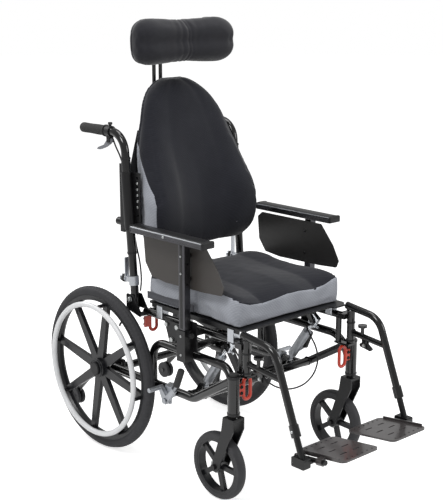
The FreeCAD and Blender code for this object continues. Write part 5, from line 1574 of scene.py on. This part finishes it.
@dataclass
class BaseFrame:
    """The base and seat frames with their welds, bolts, springs and locks."""

    tube_x: float = 229.0
    tube: float = 12.5
    cross_rows: tuple[tuple[float, float], ...] = ((45.0, 260.0), (378.0, 260.0), (440.0, 279.3))
    seat_rows: tuple[float, ...] = (172.0, 480.0)
    seat_x: float = 203.0
    seat_z: float = 466.0
    seat_tube: float = 10.5
    housing_x: float = 247.0
    housing_f: float = 595.0
    housing_low_z: float = 269.0
    housing_high_z: float = 383.0
    plate_face_x: float = 237.9
    sleeve_x: float = 212.5
    axle_cap_x: float = 280.5
    grip_low_z: float = 293.0
    plate_bolts: tuple[tuple[float, float], ...] = (
        (-20.0, 242.0), (-20.0, 278.0), (25.0, 242.0), (25.0, 278.0))
    clamp_bolts: tuple[tuple[float, float], ...] = ((299.0, 277.0), (321.0, 277.0))
    front_tab: tuple[float, float] = (224.0, 603.0)
    front_tab_rows: tuple[float, float] = (329.0, 347.0)
    rear_tab: tuple[float, float] = (211.0, 162.0)
    rear_tab_rows: tuple[float, float] = (427.0, 445.0)

    def welds(self) -> None:
        """Beads where cross tubes meet the side frames and the rails."""
        form = Form()
        for f, z in self.cross_rows:
            for _, sign in SIDES:
                beads(form, place(sign * (self.tube_x - self.tube + 1.0), f, z), LEFT, self.tube)
        new_piece("base_welds", form.mesh("welds"), GLOSS_BLACK, "base")
        form = Form()
        for f in self.seat_rows:
            for _, sign in SIDES:
                beads(form, place(sign * (self.seat_x - 10.0), f, self.seat_z), LEFT, self.seat_tube)
        new_piece("seat_welds", form.mesh("welds"), GLOSS_BLACK, "seat")

    def housing_rings(self) -> bpy.types.Object:
        """Turned rings at both ends of the caster housings."""
        form = Form()
        for _, sign in SIDES:
            for z in (self.housing_low_z + 1.0, self.housing_high_z - 8.0):
                form.turned(place(sign * self.housing_x, self.housing_f, z), UP,
                            [(16.0, 0.0), (18.4, 0.6), (18.4, 6.2), (16.0, 7.0)], 36, closed=True)
        return new_piece("housing_rings", form.mesh("rings"), SATIN_BLACK, "base")

    def bolts(self) -> None:
        """Silver bolts of the axle plates and wheel lock clamps, dark ones of the tie-down tabs."""
        silver, dark = [], []
        for _, sign in SIDES:
            inner = LEFT * -sign
            for f, z in self.plate_bolts:
                silver.append(Fastener((sign * (self.tube_x - self.tube - 8.0), f, z), inner, Head.HEX, 10.0))
            for f, z in self.clamp_bolts:
                silver.append(Fastener((sign * self.tube_x, f, z), UP, Head.HEX, 8.0))
            for z in self.front_tab_rows:
                x, f = self.front_tab
                dark.append(Fastener((sign * x, f, z), along(0.0, 1.0, 0.0), Head.BUTTON, 11.0))
        fasten("base_bolts", silver, ZINC, "base")
        fasten("front_loop_bolts", dark, SATIN_BLACK, "base")
        x, f = self.rear_tab
        rear = [Fastener((sign * x, f, z), along(0.0, -1.0, 0.0), Head.BUTTON, 11.0)
                for _, sign in SIDES for z in self.rear_tab_rows]
        fasten("rear_loop_bolts", rear, SATIN_BLACK, "seat")

    def build(self, parts: FrameParts) -> None:
        """Builds the frame's pieces and dresses its nodes."""
        self.welds()
        self.housing_rings()
        self.bolts()
        for side, _ in SIDES:
            parts.dress({"base_side_frame": GLOSS_BLACK, "anti_tipper_rollers": CASTER_TYRE,
                         "gas_spring_cylinder": CAST_ALUMINIUM, "gas_spring_rod": CHROME}, f"_{side}")
            parts.dress_solids(f"wheel_lock_lever_{side}", [CAST_ALUMINIUM, GRIP_RUBBER],
                               lambda low, high: 1 if low.z > self.grip_low_z * MM else 0)
        parts.dress_faces("base_cross_tubes", [GLOSS_BLACK, SATIN_BLACK],
                          lambda spot, normal: 1 if abs(abs(spot.x) - self.sleeve_x * MM) < 4.5 * MM else 0)
        parts.dress_faces("rear_axles", [ZINC, NYLON],
                          lambda spot, normal: 1 if abs(spot.x) > self.axle_cap_x * MM else 0)
        parts.dress({"front_tie_downs": SIGNAL_ORANGE, "rear_tie_downs": SIGNAL_ORANGE,
                     "anti_tipper_tubes": GLOSS_BLACK, "wheel_lock_clamps": CAST_ALUMINIUM,
                     "seat_frame": GLOSS_BLACK, "armrest_sockets": SATIN_BLACK, "release_loop": CABLE_BLACK,
                     "trigger_cable": CABLE_BLACK})
        parts.dress_faces("hinge_plates", [SATIN_BLACK, ZINC],
                          lambda spot, normal: 1 if (abs(spot.x) > self.plate_face_x * MM and spot.z < 0.48
                                                     and spot.y < 0.15) else 0)
        parts.dress_solids("seat_pan", [SATIN_BLACK, ALUMINIUM], small(70.0))


@dataclass(frozen=True)
class Lamp:
    """One square soft lamp: where it hangs as (x, f, z), its side in metres and its power in watts."""

    name: str
    spot: Point
    size: float
    power: float


LAMPS = (
    Lamp("key", (-1900.0, 900.0, 2900.0), 1.0, 38.0),
    Lamp("overhead", (100.0, 100.0, 3300.0), 1.5, 30.0),
    Lamp("front_fill", (1500.0, 3000.0, 1900.0), 1.2, 26.0),
    Lamp("back_rim", (-600.0, -2400.0, 2300.0), 1.4, 26.0),
)


@dataclass
class Studio:
    """A plain studio: the photograph's camera, a pale floor and four soft lamps.

    The floor's glow and the sky's level are what the eye sees, the gloss reflects and the object gets.
    """

    focal_pixels: float = 1123.6
    image_height: float = 500.0
    sensor: float = 36.0
    azimuth: float = 42.66
    pitch: float = 13.4
    spot: Point = (-2260.1, 2730.2, 1439.5)
    aim: Point = (0.0, 250.0, 600.0)
    floor_rows: tuple[float, ...] = (2.0, 6.0, 20.0)
    floor_steps: int = 64
    floor_z: float = -0.0005
    floor_glow: tuple[float, float, float] = (0.66, 0.3, 0.0)
    sky_level: tuple[float, float, float] = (1.0, 0.55, 0.45)

    def camera(self) -> bpy.types.Object:
        """The camera at the photograph's place and angle."""
        data = bpy.data.cameras.new("camera")
        data.sensor_width = self.sensor
        data.lens = self.focal_pixels / self.image_height * self.sensor
        data.clip_end = 60.0
        camera = bpy.data.objects.new("camera", data)
        bpy.context.scene.collection.objects.link(camera)
        camera.location = place(*self.spot)
        a, e = math.radians(self.azimuth), math.radians(self.pitch)
        back = Vector((-math.sin(a) * math.cos(e), -math.cos(a) * math.cos(e), math.sin(e)))
        camera.rotation_mode = "QUATERNION"
        camera.rotation_quaternion = (-back).to_track_quat("-Z", "Y")
        bpy.context.scene.camera = camera
        return camera

    def floor(self) -> bpy.types.Object:
        """A wide, round, level floor."""
        steps = self.floor_steps
        points = [Vector((0.0, 0.0, self.floor_z))]
        faces = []
        for radius in self.floor_rows:
            points += [Vector((radius * math.cos(a), radius * math.sin(a), self.floor_z))
                       for a in (2.0 * math.pi * k / steps for k in range(steps))]
        for k in range(steps):
            after = (k + 1) % steps
            faces.append((0, 1 + k, 1 + after))
            for row in range(len(self.floor_rows) - 1):
                low = 1 + row * steps
                faces.append((low + k, low + steps + k, low + steps + after, low + after))
        floor = bpy.data.objects.new("floor", to_mesh("floor", points, faces))
        floor.data.materials.append(self.floor_material())
        bpy.context.scene.collection.objects.link(floor)
        return floor

    def by_ray(self, tree: bpy.types.NodeTree, eye: float, mirror: float,
               other: float) -> bpy.types.NodeSocket:
        """A strength that depends on who looks at the surroundings.

        Args:
            tree: the node tree that gets the nodes.
            eye: what the camera sees.
            mirror: what the object's gloss reflects.
            other: what lights the object.

        Returns:
            The strength's socket.
        """
        path = add_node(tree, "ShaderNodeLightPath")
        first = add_node(tree, "ShaderNodeMath", {"operation": "MULTIPLY_ADD"},
                         {0: path.outputs["Is Camera Ray"], 1: eye - other, 2: other})
        both = add_node(tree, "ShaderNodeMath", {"operation": "MULTIPLY_ADD"},
                        {0: path.outputs["Is Glossy Ray"], 1: mirror - other, 2: first.outputs[0]})
        return both.outputs[0]

    def floor_material(self) -> bpy.types.Material:
        """Matt white floor paint, lifted to white where it is looked at, with its shadows kept."""
        made = bpy.data.materials.new("floor_paint")
        made.use_nodes = True
        tree = made.node_tree
        tree.nodes.clear()
        grain = add_node(tree, "ShaderNodeTexNoise", None, {"Scale": 80.0, "Detail": 2.0})
        tone = add_node(tree, "ShaderNodeMix", {"data_type": "RGBA"},
                        {0: grain.outputs[0], 6: linear("#f3f3f3"), 7: linear("#f6f6f6")})
        paint = add_node(tree, "ShaderNodeBsdfDiffuse", None, {"Color": tone.outputs[2]})
        glow = add_node(tree, "ShaderNodeEmission", None, {"Strength": self.by_ray(tree, *self.floor_glow)})
        both = add_node(tree, "ShaderNodeAddShader", None, {0: paint.outputs[0], 1: glow.outputs[0]})
        out = add_node(tree, "ShaderNodeOutputMaterial")
        tree.links.new(both.outputs[0], out.inputs["Surface"])
        return made

    def world(self) -> None:
        """White surroundings to the eye, darker ones to the gloss, and even light from all sides."""
        world = bpy.data.worlds.new("studio")
        bpy.context.scene.world = world
        world.use_nodes = True
        tree = world.node_tree
        tree.nodes.clear()
        sky = add_node(tree, "ShaderNodeBackground", None,
                       {"Color": (1.0, 1.0, 1.0, 1.0), "Strength": self.by_ray(tree, *self.sky_level)})
        out = add_node(tree, "ShaderNodeOutputWorld")
        tree.links.new(sky.outputs[0], out.inputs["Surface"])

    def hang(self, lamp: Lamp) -> None:
        """Puts one lamp up and points it at the aim."""
        data = bpy.data.lights.new(lamp.name, "AREA")
        data.size = lamp.size
        data.energy = lamp.power
        obj = bpy.data.objects.new(lamp.name, data)
        bpy.context.scene.collection.objects.link(obj)
        obj.location = place(*lamp.spot)
        obj.rotation_mode = "QUATERNION"
        obj.rotation_quaternion = (place(*self.aim) - place(*lamp.spot)).to_track_quat("-Z", "Y")

    def build(self) -> None:
        """Sets up floor, world and lamps."""
        self.floor()
        self.world()
        for lamp in LAMPS:
            self.hang(lamp)
        bpy.context.scene.view_settings.view_transform = "Standard"


def main() -> None:
    """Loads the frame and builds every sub-assembly."""
    logging.basicConfig(level=logging.INFO, format="%(name)s: %(message)s")
    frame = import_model()
    studio = Studio()
    studio.camera()
    parts = FrameParts(frame)
    for side, sign in SIDES:
        RearWheel(side, sign).build(parts)
        Caster(side, sign).build(parts)
    BaseFrame().build(parts)
    BackFrame().build(parts)
    for side, sign in SIDES:
        Armrest(side, sign).build(parts)
        LegRest(side, sign).build(parts)
    SeatCushion("seat_cushion_cover", "seat_cushion", "seat", 0.8).build()
    BackCushion("back_cushion_cover", "back_cushion", "back", 0.8, shrink=6.0, cap=4.0,
                support=along(0.0, -1.0, 0.0)).build()
    HeadrestPad("headrest_pad_cover", "headrest_pad", "headrest", 0.85, shrink=5.0, cap=3.0, rounds=3,
                support=along(0.0, -1.0, 0.0)).build()
    studio.build()


if __name__ == "__main__":
    main()
